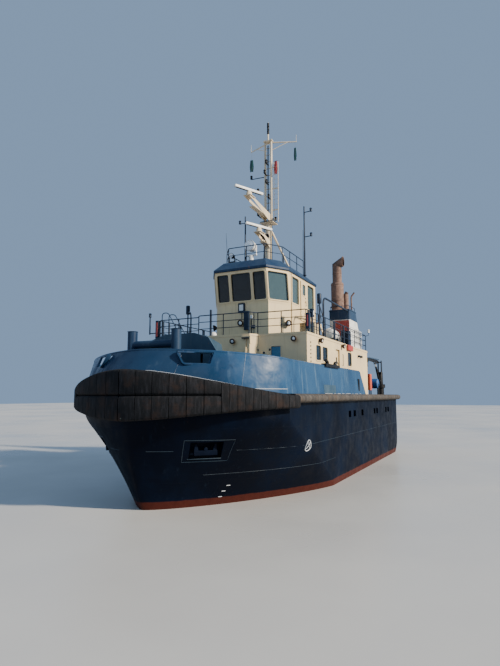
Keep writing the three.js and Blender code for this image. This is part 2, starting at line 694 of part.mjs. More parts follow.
const houseRail = railing([
  [-6230, -3950], [-6230, 3950], [4850, 3950], [4850, 1600], [5250, 1350], [5250, -1350], [4850, -1600],
  [4850, -3950], [-6230, -3950],
], HOUSE_TOP, RAIL_HEIGHT, [350, 680, RAIL_HEIGHT - 22], 1350);
piece('deckhouse_rail', houseRail, ROOF_BLUE);
const roofRail = railing([
  [-1200, 1650], [1950, 1650], [2850, 1050], [2850, -1050], [1950, -1650], [-1200, -1650],
], ROOF_TOP, ROOF_RAIL_HEIGHT, [450, ROOF_RAIL_HEIGHT - 22], 1100);
piece('roof_rail', roofRail, ROOF_BLUE);

// Mast and what it carries

const UPPER_RADAR = { x: 2540, z: 14900, arm: 14300, span: 1920 };
const LOWER_RADAR = { x: 1300, z: 13260, arm: 12700, span: 1870 };
const RADAR_REST = Math.atan2(0.426, -0.905);

function radarBracket({ x, z, arm }) {
  const seat = z - 330;
  return [
    ...[-1, 1].map((side) => rod([0, side * 60, arm], [x - 200, side * 160, seat - 20], 45, 6)),
    rod([0, 0, arm - 500], [x - 300, 0, seat - 30], 40, 6),
    box([x - 330, x + 250], [-230, 230], [seat - 50, seat]),
    rod([x, 0, seat], [x, 0, z - 80 - GAP], 150, 12, 110),
  ];
}

function mast() {
  const lower = rod([0, 0, ROOF_TOP + GAP], [0, 0, MAST_PLATFORM], 210, 14, 190);
  const platform = box([-350, 350], [-420, 420], [MAST_PLATFORM - 40, MAST_PLATFORM]);
  const poles = [-1, 1].map((side) => rod(
    [0, side * 190, MAST_PLATFORM - 10], [0, side * 190, YARD_HEIGHT + 60], 75, 10, 60));
  const rungs = [];
  for (let z = MAST_PLATFORM + 400; z < YARD_HEIGHT - 100; z += 420) {
    rungs.push(rod([0, -190, z], [0, 190, z], 22, 6));
  }
  const head = box([-110, 110], [-280, 280], [YARD_HEIGHT - 60, YARD_HEIGHT]);
  const pole = rod([0, 0, YARD_HEIGHT - 10], [0, 0, MAST_TOP], 45, 8, 30);
  const braces = [-1, 1].map((side) => rod(
    [0, side * 120, 13500], [-1250, side * 1000, ROOF_TOP + 50], 55, 8));
  const feet = [-1, 1].map((side) => box(
    [-1340, -1160], [side * 1000 - 90, side * 1000 + 90], [ROOF_TOP + GAP, ROOF_TOP + 60]));
  return join(
    lower, platform, poles, rungs, head, pole, braces, feet, radarBracket(UPPER_RADAR),
    radarBracket(LOWER_RADAR));
}

function yard() {
  const sweep = Math.tan(THREE.MathUtils.degToRad(22));
  const half = 1500;
  const level = YARD_HEIGHT - 30;
  const arms = [-1, 1].map((side) => rod(
    [-110 - GAP - 55, 0, level], [-165 - half * sweep, side * half, level], 42, 8, 26));
  const socket = box([-230, -110 - GAP], [-90, 90], [YARD_HEIGHT - 90, YARD_HEIGHT + 10]);
  return join(arms, socket);
}

function radarScanner({ x, z, span }) {
  const bar = join(
    box([-span / 2, span / 2], [-75, 75], [-60, 90]),
    rod([0, 0, -80], [0, 0, -50], 90, 12));
  return carried(bar, new THREE.Matrix4().makeRotationZ(RADAR_REST).setPosition(x, 0, z));
}

piece('mast', mast(), CREAM);
piece('mast_yard', yard(), CREAM);
piece('radar_scanner_upper', radarScanner(UPPER_RADAR), WHITE);
piece('radar_scanner_lower', radarScanner(LOWER_RADAR), WHITE);

// Searchlight drums on their yokes, on pillars on the wheelhouse roof: place, drum radius and
// length, height of the pillar under the fork and its radius
function searchlight({ x, y, radius, length, pillar, stem }) {
  const fork = ROOF_TOP + pillar;
  const centre = fork + radius + 150;
  const drum = rod(
    [x - length * 0.6, y, centre], [x + length * 0.4, y, centre + 30], radius * 0.8, 14, radius);
  const arms = [-1, 1].map((side) => {
    const [near, far] = [radius * 0.8, radius + 30].map((reach) => side * reach).sort((a, b) => a - b);
    return box([x - 50, x + 50], [y + near, y + far], [fork - 20, centre + 60]);
  });
  return join(
    drum, arms,
    box([x - 60, x + 60], [y - radius - 30, y + radius + 30], [fork - 60, fork]),
    rod([x, y, ROOF_TOP + GAP], [x, y, fork - 40], stem, 10));
}
piece('searchlight_large', searchlight(
  { x: 2250, y: -20, radius: 300, length: 560, pillar: 540, stem: 130 }), WHITE);
piece('searchlight_small', searchlight(
  { x: 2300, y: -1150, radius: 140, length: 300, pillar: 300, stem: 60 }), FENDER_BLACK);

// Signal poles at the roof's after corners, each with short lamp arms: x, y, top, arm heights
const SIGNAL_POLES = [
  { name: 'signal_pole_port', x: -500, y: 2000, top: 14700, arms: [12900, 14350] },
  { name: 'signal_pole_starboard', x: 500, y: -1250, top: 14300, arms: [13900] },
];
for (const { name, x, y, top, arms } of SIGNAL_POLES) {
  const side = Math.sign(y);
  const stays = arms.map((z) => join(
    rod([x, y, z], [x - 60, y + side * 380, z + 40], 26, 6),
    rod([x - 60, y + side * 380, z + 20], [x - 60, y + side * 380, z + 250], 60, 8)));
  const pole = cut(rod([x, y, EAVES + 200], [x, y, top], 55, 8, 38), moved(bridgeRoof(), 0, 0, GAP));
  piece(name, join(pole, stays), ROOF_BLUE);
}

// Twin funnel casings and their exhausts

const FUNNEL = { inner: 2600, outer: 3850, front: -2950, aftFoot: -5650, aftHead: -4330, head: 9000 };

function funnel() {
  const { inner, outer, front, aftFoot, aftHead, head } = FUNNEL;
  return sidePrism([
    [front, HOUSE_TOP + GAP], [front, head], [aftHead, head], [aftFoot, HOUSE_TOP + GAP],
  ], [inner, outer]);
}

// The main exhaust: a sleeve, the pipe in it, and a mitred elbow whose mouth faces outboard
const EXHAUST = {
  x: -3450, y: 2990, sleeve: 365, sleeveHead: 10720, pipe: 275, mitre: 11815, mouth: 12040, reach: 405,
};
function elbow(radius, start, reach) {
  const { x, y, mitre, mouth } = EXHAUST;
  const ring = (place) => Array.from({ length: 16 }, (_, i) => {
    const angle = i * Math.PI / 8;
    return place(radius * Math.cos(angle), radius * Math.sin(angle));
  });
  return loft([
    ring((a, b) => [x + a, y + b, start]),
    ring((a, b) => [x + a, y + b, mitre - b * 0.42]),
    ring((a, b) => [x + a, y + reach, mouth - b * 1.15]),
  ]);
}
function exhaust() {
  const { x, y, sleeve, sleeveHead, pipe, reach } = EXHAUST;
  const foot = FUNNEL.head + GAP;
  const small = [
    rod([-3950, 3360, foot], [-3950, 3360, 10080], 165, 12),
    rod([-3950, 3360, 10000], [-3950, 3450, 10230], 110, 12),
  ];
  const thin = [
    rod([-4120, 3650, foot], [-4120, 3650, 9950], 50, 8),
    rod([-4120, 3650, 9920], [-4120, 3850, 10200], 50, 8),
  ];
  const plate = box([-4300, -3000], [FUNNEL.inner + 10, FUNNEL.outer - 30], [foot, foot + 30]);
  const outer = rod([x, y, foot], [x, y, sleeveHead], sleeve, 16);
  return cut(
    join(outer, elbow(pipe, sleeveHead - 50, reach), small, thin, plate),
    elbow(pipe - 40, sleeveHead + 500, reach + 20));
}

piece('funnel_port', funnel(), WHITE);
piece('funnel_starboard', mirrored(funnel()), WHITE);
piece('exhaust_port', exhaust(), EXHAUST_RUST, 0.9, 0.2);
piece('exhaust_starboard', mirrored(exhaust()), EXHAUST_RUST, 0.9, 0.2);

// Fore deck gear

const BITT = { x: 10500, half: 1000, radius: 185, top: 6400, barFoot: 5720, barHead: 6020 };
function hBitt() {
  const { x, half, radius, top, barFoot, barHead } = BITT;
  const posts = [-half, half].map((y) => rod([x, y, FORE_DECK + GAP], [x, y, top], radius, 16));
  const middle = (barFoot + barHead) / 2;
  const bar = rod([x, -half, middle], [x, half, middle], (barHead - barFoot) / 2, 14);
  const feet = [-half, half].map((y) => sidePrism([
    [x - 800, FORE_DECK + GAP], [x + 100, FORE_DECK + GAP], [x + 100, FORE_DECK + 500],
    [x - 150, FORE_DECK + 900],
  ], [y - 40, y + 40]));
  return join(posts, bar, feet);
}
piece('h_bitt', hBitt(), GEAR_BLUE);

const WINCH = { x: 7900, z: 5250, drumHalf: 980, drumRadius: 420, flange: 720, shaft: 90 };
function winchFrame() {
  const { x, z, drumHalf, shaft } = WINCH;
  const cheek = sidePrism([
    [x - 900, FORE_DECK + GAP], [x + 950, FORE_DECK + GAP], [x + 950, 5600], [x + 700, 6350],
    [x - 500, 6100], [x - 900, 5000],
  ], [drumHalf + 30, drumHalf + 150]);
  const bore = (shaft + 0.5) / Math.cos(Math.PI / 12);
  const hole = rod([x, drumHalf - 50, z], [x, drumHalf + 300, z], bore, 12, bore, Math.PI / 12);
  const side = cut(cheek, hole);
  const shield = frontPrism([
    [-1800, 5000], [-1800, 5600], [-1350, 6250], [-700, 6450],
    [700, 6450], [1350, 6250], [1800, 5600], [1800, 5000],
    [1130, 4600], [1130, FORE_DECK + GAP], [-1130, FORE_DECK + GAP], [-1130, 4600],
  ], [x + 870, x + 950]);
  const bed = box([x - 900, x + 950], [-drumHalf - 150, drumHalf + 150], [FORE_DECK + GAP, FORE_DECK + 150]);
  return join(side, mirrored(side), shield, bed);
}
function winchDrum() {
  const { x, z, drumHalf, drumRadius, flange, shaft } = WINCH;
  return join(
    rod([x, -drumHalf - 140, z], [x, drumHalf + 140, z], shaft, 12),
    rod([x, -drumHalf, z], [x, drumHalf, z], drumRadius, 18),
    [-drumHalf, -20, drumHalf - 40].map((y) => rod([x, y, z], [x, y + 40, z], flange, 20)));
}
piece('fore_winch_frame', winchFrame(), GEAR_BLUE);
piece('fore_winch_drum', winchDrum(), GEAR_BLUE);

// After deck gear: tow hook on its post, bitt, capstan

const HOOK = { x: -7400, z: 4000, post: 260 };
function hookPost() {
  const { x, z, post } = HOOK;
  return join(
    box([x - post, x + post + 500], [-post, post], [MAIN_DECK + GAP, z - 120]),
    rod([x, 0, z - 130], [x, 0, z - 70 - GAP], 150, 12),
    rod([x, 0, z - 80], [x, 0, z + 70], 50, 12));
}
function towHook() {
  const { x, z } = HOOK;
  const radius = (50 + 0.5) / Math.cos(Math.PI / 12);
  const cheek = sidePrism([
    [x + 110, z - 70], [x + 110, z + 60], [x - 500, z + 60], [x - 980, z + 20], [x - 1080, z + 180],
    [x - 1180, z + 180], [x - 1160, z - 70],
  ], [-90, 90]);
  return cut(cheek, rod([x, 0, z - 200], [x, 0, z + 200], radius, 12, radius, Math.PI / 12));
}
piece('tow_hook_post', hookPost(), GEAR_BLUE);
piece('tow_hook', towHook(), GEAR_BLUE);

function aftBitt() {
  const x = -11900;
  const posts = [-700, 700].map((y) => rod([x, y, MAIN_DECK + GAP], [x, y, 4350], 170, 16));
  const bar = rod([x, -1000, 3950], [x, 1000, 3950], 130, 12);
  return join(posts, bar);
}
piece('aft_bitt', aftBitt(), GEAR_BLUE);

function capstan() {
  return turned([
    [0, MAIN_DECK + GAP], [380, MAIN_DECK + GAP], [380, MAIN_DECK + 80], [210, MAIN_DECK + 220],
    [210, MAIN_DECK + 620], [330, MAIN_DECK + 720], [300, MAIN_DECK + 800], [0, MAIN_DECK + 800],
  ], 18);
}
piece('capstan', moved(capstan(), -10400, -2900, 0), GEAR_BLUE);

// Deck crane on the port quarter, boom stowed forward

const CRANE = { x: -10800, y: 3850, slew: 4650, pivot: 6350, boomLength: 3700 };
const PIN = 40;
const pinHole = (a, b) => {
  const radius = (PIN + 0.5) / Math.cos(Math.PI / 12);
  return rod(a, b, radius, 12, radius, Math.PI / 12);
};
const BARREL_FOOT = { x: CRANE.x + 420, z: 5000 };
const ROD_EYE = { x: CRANE.x + 1500, z: 6180 };

function cranePedestal() {
  const { x, y, slew } = CRANE;
  return join(
    rod([x, y, MAIN_DECK + GAP], [x, y, slew - GAP], 240, 16),
    rod([x, y, slew - 120], [x, y, slew - GAP], 330, 16));
}
function craneColumn() {
  const { x, y, slew, pivot } = CRANE;
  const cheeks = [[-126, -96], [96, 126]].map(([a, b]) => sidePrism([
    [x - 200, slew + 900], [x + 200, slew + 900], [x + 160, pivot + 130], [x - 160, pivot + 130],
  ], [y + a, y + b]));
  const foot = BARREL_FOOT;
  const ears = [[-106, -76], [76, 106]].map(([a, b]) => (
    box([x + 120, foot.x + 60], [y + a, y + b], [foot.z - 70, foot.z + 70])));
  return join(
    rod([x, y, slew], [x, y, slew + 120], 330, 16),
    rod([x, y, slew + 100], [x, y, slew + 1000], 190, 14),
    box([x - 200, x + 200], [y - 126, y + 126], [slew + 850, slew + 1000]),
    cheeks, ears,
    rod([x, y - 120, pivot], [x, y + 120, pivot], PIN, 12),
    rod([foot.x, y - 100, foot.z], [foot.x, y + 100, foot.z], PIN, 12));
}
function craneBoom() {
  const { x, y, pivot, boomLength } = CRANE;
  const beam = sidePrism([
    [x - 90, pivot - 90], [x - 90, pivot + 90], [x + 500, pivot + 160], [x + boomLength, pivot + 110],
    [x + boomLength, pivot - 10], [x + 500, pivot - 60],
  ], [y - 88, y + 88]);
  const eye = ROD_EYE;
  const ears = [[-88, -66], [66, 88]].map(([a, b]) => sidePrism([
    [eye.x - 160, pivot - 10], [eye.x + 160, pivot - 10], [eye.x + 50, eye.z - 60], [eye.x - 50, eye.z - 60],
  ], [y + a, y + b]));
  return join(
    cut(beam, pinHole([x, y - 200, pivot], [x, y + 200, pivot])), ears,
    box([x + boomLength - 60, x + boomLength], [y - 60, y + 60], [pivot - 120, pivot + 20]));
}
const reach = new THREE.Vector3(ROD_EYE.x - BARREL_FOOT.x, 0, ROD_EYE.z - BARREL_FOOT.z);
const CYLINDER_LENGTH = reach.length();
const axis = reach.normalize();
const along = (distance) => [
  BARREL_FOOT.x + axis.x * distance, CRANE.y, BARREL_FOOT.z + axis.z * distance,
];
function craneBarrel() {
  const { x, z } = BARREL_FOOT;
  const eye = rod([x, CRANE.y - 68, z], [x, CRANE.y + 68, z], 75, 12);
  const tube = cut(rod(along(50), along(1300), 68, 12), rod(along(160), along(1400), 41, 12));
  return cut(join(eye, tube), pinHole([x, CRANE.y - 200, z], [x, CRANE.y + 200, z]));
}
function craneRod() {
  const { x, z } = ROD_EYE;
  const eye = rod([x, CRANE.y - 54, z], [x, CRANE.y + 54, z], 70, 12);
  return cut(
    join(eye, rod(along(180), along(CYLINDER_LENGTH - 40), 40, 12)),
    pinHole([x, CRANE.y - 200, z], [x, CRANE.y + 200, z]));
}
piece('crane_pedestal', cranePedestal(), GEAR_BLUE);
piece('crane_column', craneColumn(), GEAR_BLUE);
piece('crane_boom', craneBoom(), GEAR_BLUE);
piece('crane_barrel', craneBarrel(), GEAR_BLUE);
piece('crane_rod', craneRod(), WHITE, 0.2, 0.9);

// Azimuthing thrusters with their nozzles and propellers

const NOZZLE = { centre: -600, half: 340, inner: 870, outer: 1030 };
function thruster() {
  const { shaft, seat } = THRUSTER;
  const leg = loft([seat - GAP, shaft + 100].map((z) => atHeight([
    [360, 0], [180, 110], [-150, 110], [-350, 40], [-350, -40], [-150, -110], [180, -110],
  ], z)));
  const flange = rod([0, 0, seat - 160], [0, 0, seat - GAP], 600, 20);
  const pod = join(
    rod([-380, 0, shaft], [300, 0, shaft], 230, 16), rod([300, 0, shaft], [620, 0, shaft], 230, 16, 60));
  const { centre, half, inner, outer } = NOZZLE;
  const profile = [
    [inner, -half], [inner, 0], [inner + 60, half],
    [outer, half - 60], [outer, half - 260], [inner + 50, -half],
  ];
  const ring = carried(
    turned(profile, 28), new THREE.Matrix4().makeRotationY(Math.PI / 2).setPosition(centre, 0, shaft));
  const struts = [-1, 1].map((side) => rod(
    [-150, side * 150, shaft - 80], [-380, side * 800, shaft - 420], 55, 8));
  const web = box([-350, -200], [-60, 60], [shaft + 200, shaft + 940]);
  return join(leg, flange, pod, ring, struts, web);
}
function propeller() {
  const { shaft } = THRUSTER;
  const front = -380 - GAP;
  const hub = join(
    rod([front - 330, 0, 0], [front, 0, 0], 190, 16),
    rod([front - 480, 0, 0], [front - 330, 0, 0], 90, 16, 190));
  // blade sections: radius, chord, angle of the chord from the disc in degrees
  const sections = [[150, 300, 55], [400, 480, 38], [650, 560, 28], [800, 380, 22]];
  const blade = loft(sections.map(([radius, chord, degrees]) => {
    const angle = THREE.MathUtils.degToRad(degrees);
    const [ax, tang] = [Math.sin(angle), Math.cos(angle)];
    const thick = 16;
    return [[1, -1], [1, 1], [-1, 1], [-1, -1]].map(([c, t]) => [
      front - 200 + c * (chord / 2) * ax - t * thick * tang, c * (chord / 2) * tang + t * thick * ax, radius,
    ]);
  }));
  const blades = [0, 1, 2, 3].map((k) => carried(blade, new THREE.Matrix4().makeRotationX(k * Math.PI / 2)));
  return moved(join(hub, blades), 0, 0, shaft);
}
const thrusterBody = thruster();
const propellerBody = propeller();
for (const [name, side] of [['port', 1], ['starboard', -1]]) {
  piece(`thruster_${name}`, moved(thrusterBody, THRUSTER.x, side * THRUSTER.y, 0), NAVY);
  piece(`propeller_${name}`, moved(propellerBody, THRUSTER.x, side * THRUSTER.y, 0), BRONZE, 0.35, 0.8);
}

// Life raft canister on its cradle, and the bent vent pipe between it and the wheelhouse
const RAFT = { y: 3350, from: -1500, to: -300, radius: 300, height: HOUSE_TOP + 520 };
function lifeRaft() {
  const { y, from, to, radius, height } = RAFT;
  return join(
    rod([from, y, height], [to, y, height], radius, 16),
    [-1300, -620].map((x) => box([x, x + 90], [y - 260, y + 260], [HOUSE_TOP + GAP, height - 190])));
}
piece('life_raft', lifeRaft(), WHITE);

// The pipe rises from the deckhouse top, bends over and runs aft to the funnel's front.
const VENT = { radius: 50, sides: 10, y: 3720, level: 8900 };
function vent() {
  const { radius, sides, y, level } = VENT;
  const route = new THREE.CatmullRomCurve3([
    [1620, y, HOUSE_TOP + GAP], [1620, y, HOUSE_TOP + 700], [1620, y, level - 420], [1560, y, level - 130],
    [1300, y, level], [500, y, level], [-1200, y, level], [FUNNEL.front + 2 * GAP, y, level],
  ].map((p) => new THREE.Vector3(...p)));
  const section = new THREE.Shape(Array.from({ length: sides }, (_, i) => {
    const angle = i * 2 * Math.PI / sides;
    return new THREE.Vector2(Math.cos(angle) * radius, Math.sin(angle) * radius);
  }));
  return solid(new THREE.ExtrudeGeometry(section, { steps: 26, extrudePath: route, bevelEnabled: false }));
}
piece('vent_port', vent(), ROOF_BLUE);

const group = new THREE.Group();
for (const { name, body, colour, roughness, metalness } of pieces) {
  const material = new THREE.MeshStandardMaterial({ color: colour, roughness, metalness, flatShading: true });
  const mesh = new THREE.Mesh(geometryOf(body), material);
  mesh.name = name;
  group.add(mesh);
}
export default group;
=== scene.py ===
# %% [markdown]
# This file dresses a compact harbour tugboat. The construction is already there as a frame of
# plain solids, in metres: +X is the bow, +Y is port, +Z is up, and z = 0 is the waterline.
# Each piece made here lies where its solid is, rides on the same body, and gives it the curves,
# fittings and finish of the real boat.

# %% The frame
import math

import bpy
import numpy as np
from mathutils import Matrix, Vector


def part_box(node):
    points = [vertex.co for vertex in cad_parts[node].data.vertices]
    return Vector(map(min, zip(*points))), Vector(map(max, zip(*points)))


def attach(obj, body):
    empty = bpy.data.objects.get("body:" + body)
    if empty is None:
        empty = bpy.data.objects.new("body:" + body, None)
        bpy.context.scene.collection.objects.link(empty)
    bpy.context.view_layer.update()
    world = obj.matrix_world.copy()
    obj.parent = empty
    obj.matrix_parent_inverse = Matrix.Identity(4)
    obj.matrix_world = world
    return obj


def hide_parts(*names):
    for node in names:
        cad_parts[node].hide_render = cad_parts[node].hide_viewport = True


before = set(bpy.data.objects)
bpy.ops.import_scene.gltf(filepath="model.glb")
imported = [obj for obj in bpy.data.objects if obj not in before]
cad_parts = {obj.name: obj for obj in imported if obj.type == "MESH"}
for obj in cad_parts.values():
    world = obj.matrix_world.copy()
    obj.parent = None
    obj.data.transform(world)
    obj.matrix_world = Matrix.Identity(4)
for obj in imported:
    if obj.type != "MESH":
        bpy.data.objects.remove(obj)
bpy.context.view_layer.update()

# %% [markdown]
# The camera stands ahead and to port of the boat, almost four metres over its waterline, and
# looks slightly up. Its place was worked out from the lines of the decks, which run to one
# vanishing point.

# %% Camera
EYE = Vector((25.5, 11.4, 3.98))
HEADING = math.radians(26.289)      # of the view, turned from straight aft
PITCH = math.radians(7.125)
FOCAL_LENGTH = 27.03                # millimetres on a 36 mm frame


def add_object(name, data):
    """Puts new data into the scene as an object."""
    made = bpy.data.objects.new(name, data)
    bpy.context.scene.collection.objects.link(made)
    return made


camera_data = bpy.data.cameras.new("view_camera")
camera_data.lens = FOCAL_LENGTH
camera_data.sensor_width = 36.0
camera_data.clip_end = 500.0
camera = add_object("view_camera", camera_data)
level = math.cos(PITCH)
gaze = Vector((-math.cos(HEADING) * level, -math.sin(HEADING) * level, math.sin(PITCH)))
camera.location = EYE
camera.rotation_euler = gaze.to_track_quat("-Z", "Y").to_euler()
bpy.context.scene.camera = camera
print("camera", tuple(EYE), "lens", FOCAL_LENGTH)

# %% [markdown]
# The light is a plain studio: one large soft sun from port, which leaves the fronts of the
# houses in shade as they are in the picture, a weaker one from ahead, and a pale sky. The floor
# lies at the waterline.

# %% Lights and floor
def sun_lamp(name, towards, strength, softness, colour):
    """A sun whose light travels along a direction; softness is its width in degrees."""
    data = bpy.data.lights.new(name, "SUN")
    data.energy = strength
    data.angle = math.radians(softness)
    data.color = colour
    add_object(name, data).rotation_euler = Vector(towards).to_track_quat("-Z", "Y").to_euler()


sun_lamp("key_sun", (0.04, -0.87, -0.48), 9.5, 3.0, (1.0, 0.91, 0.77))
sun_lamp("fill_sun", (-0.85, 0.1, -0.5), 0.6, 60.0, (0.50, 0.72, 1.0))

world = bpy.data.worlds.new("pale_sky")
world.use_nodes = True
sky = world.node_tree.nodes["Background"].inputs
sky["Color"].default_value = (0.44, 0.66, 1.0, 1.0)
sky["Strength"].default_value = 0.52
bpy.context.scene.world = world

FLOOR_SIZE = 400.0
floor_mesh = bpy.data.meshes.new("studio_floor")
floor_corners = [(x * FLOOR_SIZE / 2, y * FLOOR_SIZE / 2, 0) for x, y in ((-1, -1), (1, -1), (1, 1), (-1, 1))]
floor_mesh.from_pydata(floor_corners, [], [(0, 1, 2, 3)])
studio_floor = add_object("studio_floor", floor_mesh)
print("floor", FLOOR_SIZE, "m at the waterline")

# %% [markdown]
# Finishes are built from a few small helpers. Each reads Object coordinates, so a pattern keeps
# its real size in metres and stays on the piece when the view or the pose changes.

# %% Helpers for finishes
MIX_FIRST, MIX_SECOND, MIX_RESULT = 6, 7, 2      # the colour sockets of a Mix node


def node(tree, kind, result, inputs, **settings):
    """One shader node and its result socket. inputs are numbers, tuples or other sockets."""
    made = tree.nodes.new(f"ShaderNode{kind}")
    for key, value in settings.items():
        setattr(made, key, value)
    for key, value in inputs.items():
        if isinstance(value, bpy.types.NodeSocket):
            tree.links.new(value, made.inputs[key])
        else:
            made.inputs[key].default_value = value
    return made.outputs[result]


def place(tree, stretch=(1, 1, 1), shift=(0, 0, 0)):
    """Object coordinates, scaled along each axis."""
    own = node(tree, "TexCoord", "Object", {})
    return node(tree, "Mapping", "Vector", {"Vector": own, "Scale": stretch, "Location": shift})


def noise(tree, scale, detail=4.0, stretch=(1, 1, 1), shift=(0, 0, 0), roughness=0.6):
    """Cloudy noise, 0 to 1, with about scale features a metre."""
    inputs = {"Scale": scale, "Detail": detail, "Roughness": roughness, "Vector": place(tree, stretch, shift)}
    return node(tree, "TexNoise", "Fac", inputs)


def step(tree, value, low, high, top=1.0):
    """0 below low, rising smoothly to top above high."""
    inputs = {"Value": value, "From Min": low, "From Max": high, "To Max": top}
    return node(tree, "MapRange", "Result", inputs, interpolation_type="SMOOTHSTEP")


def calc(tree, operation, first, second=0.5):
    """One Math node on sockets or numbers."""
    return node(tree, "Math", "Value", {0: first, 1: second}, operation=operation)


def blend_colours(tree, amount, first, second):
    """first where amount is 0 and second where it is 1; colours are sockets or RGB triples."""
    first, second = ((*c, 1.0) if isinstance(c, tuple) else c for c in (first, second))
    inputs = {"Factor": amount, MIX_FIRST: first, MIX_SECOND: second}
    return node(tree, "Mix", MIX_RESULT, inputs, data_type="RGBA")


def layer(tree, under, over, edges, *cloud):
    """A colour laid over another where noise rises through its edges (low, high and top)."""
    return blend_colours(tree, step(tree, noise(tree, *cloud), *edges), under, over)


def axis_value(tree, axis):
    """The object's own X, Y or Z in metres."""
    return node(tree, "SeparateXYZ", axis, {"Vector": place(tree)})


def thin_lines(tree, value, spacing, width):
    """1 on lines that repeat every spacing metres along a value, and 0 between them."""
    return calc(tree, "LESS_THAN", calc(tree, "PINGPONG", value, spacing / 2), width / 2)


def blank_finish(name):
    """A material with an empty node tree."""
    material = bpy.data.materials.new(name)
    material.use_nodes = True
    material.node_tree.nodes.clear()
    return material, material.node_tree


def complete(material, inputs, height, distance, strength=1.0):
    """Gives a material its Principled shader, over bump that is distance metres deep."""
    tree = material.node_tree
    bump = {"Strength": strength, "Distance": distance, "Height": height}
    normal = node(tree, "Bump", "Normal", bump)
    shader = node(tree, "BsdfPrincipled", "BSDF", {**inputs, "Normal": normal})
    output = tree.nodes.new("ShaderNodeOutputMaterial")
    tree.links.new(shader, output.inputs["Surface"])
    return material


# %% [markdown]
# Most of the boat is painted steel. One function gives the paint its body colour, a faded
# shade in clouds, streaks that run down, rust that breaks through in spots, and a roughness
# that follows the dirt. Its numbers make the cream, the blues, the white and the grey.

# %% Painted steel
DARK_SHINE = 0.2          # specular level of the dark paints, so that the pale floor doesn't grey them


def painted(name, base, faded, streak=None, streaks=0.0, rust=0.0, rough=(0.35, 0.6), depth=0.0008,
            shine=DARK_SHINE):
    """Weathered paint: base and faded colours, streak colour and amount, rust amount 0 to 1."""
    material, tree = blank_finish(name)
    colour = layer(tree, base, faded, (0.35, 0.7), 0.9, 5.0)
    if streaks:
        colour = layer(tree, colour, streak, (0.54, 0.74, streaks), 5.0, 4.0, (1.6, 1.6, 0.09), (3, 1, 0))
    if rust:
        spots = step(tree, noise(tree, 7.0, 8.0, (1, 1, 0.45), (0, 5, 2), 0.75), 0.60, 0.68)
        patches = step(tree, noise(tree, 0.8, 3.0, shift=(7, 0, 3)), 0.62 - 0.25 * rust, 0.75)
        colour = blend_colours(tree, calc(tree, "MULTIPLY", spots, patches), colour, (0.19, 0.075, 0.035))
    grime = noise(tree, 2.6, 6.0, shift=(2, 2, 2))
    dull = {"Value": grime, "From Min": 0.3, "From Max": 0.7, "To Min": rough[0], "To Max": rough[1]}
    inputs = {"Base Color": colour, "Roughness": node(tree, "MapRange", "Result", dull),
              "Specular IOR Level": shine}
    return complete(material, inputs, noise(tree, 9.0, 6.0), depth)


CREAM = painted("cream_paint", (0.64, 0.50, 0.285), (0.56, 0.44, 0.27), (0.30, 0.19, 0.10), 0.32, 0.32,
                shine=0.3)
MAST_CREAM = painted("mast_paint", (0.60, 0.50, 0.35), (0.48, 0.41, 0.30), (0.22, 0.13, 0.07), 0.5, 0.5,
                     shine=0.3)
WHITE = painted("white_paint", (0.66, 0.66, 0.64), (0.52, 0.52, 0.50), (0.26, 0.18, 0.12), 0.25, 0.2,
                shine=0.5)
MARK_WHITE = painted("mark_white", (0.50, 0.52, 0.54), (0.24, 0.27, 0.31), rust=0.2, shine=0.5)
ROOF_BLUE = painted("roof_paint", (0.008, 0.024, 0.060), (0.022, 0.045, 0.085), (0.08, 0.10, 0.12),
                    0.25, 0.25)
RAIL_BLUE = painted("rail_paint", (0.006, 0.014, 0.032), (0.014, 0.026, 0.048), rust=0.35)
GEAR_BLUE = painted("gear_blue", (0.005, 0.019, 0.050), (0.014, 0.034, 0.068), (0.07, 0.09, 0.11), 0.3, 0.4)
GEAR_GREY = painted("gear_paint", (0.022, 0.050, 0.082), (0.045, 0.078, 0.112), (0.12, 0.13, 0.13), 0.3, 0.45)
BLACK = painted("black_paint", (0.004, 0.004, 0.005), (0.012, 0.012, 0.013), rust=0.1)
BROWN = painted("lamp_brown", (0.020, 0.012, 0.009), (0.045, 0.026, 0.018), rust=0.5)
WELD = painted("weld_line", (0.010, 0.022, 0.036), (0.034, 0.050, 0.066), rust=0.25)
ANTIFOUL = painted("antifouling", (0.085, 0.018, 0.012), (0.14, 0.04, 0.026), (0.05, 0.055, 0.04), 0.4)
DECK_PAINT = painted("deck_paint", (0.022, 0.050, 0.044), (0.045, 0.065, 0.055), (0.09, 0.06, 0.04), 0.2, 0.6,
                     (0.6, 0.85), 0.002)
print("painted finishes", 13)

# %% [markdown]
# The hull is dark navy above its waterline and brick red below, with the red just showing. Its
# plates are welded, so faint lines run along it and down it, and there are scuffs, salt and
# rust runs where fenders and ropes have rubbed. The pale clouds of scuffs and salt are partly
# painted reflection, standing in for sheen on the plating.

# %% Hull, bulwark and fender finishes
BOOT_TOP = 0.28          # height of the red paint over the waterline


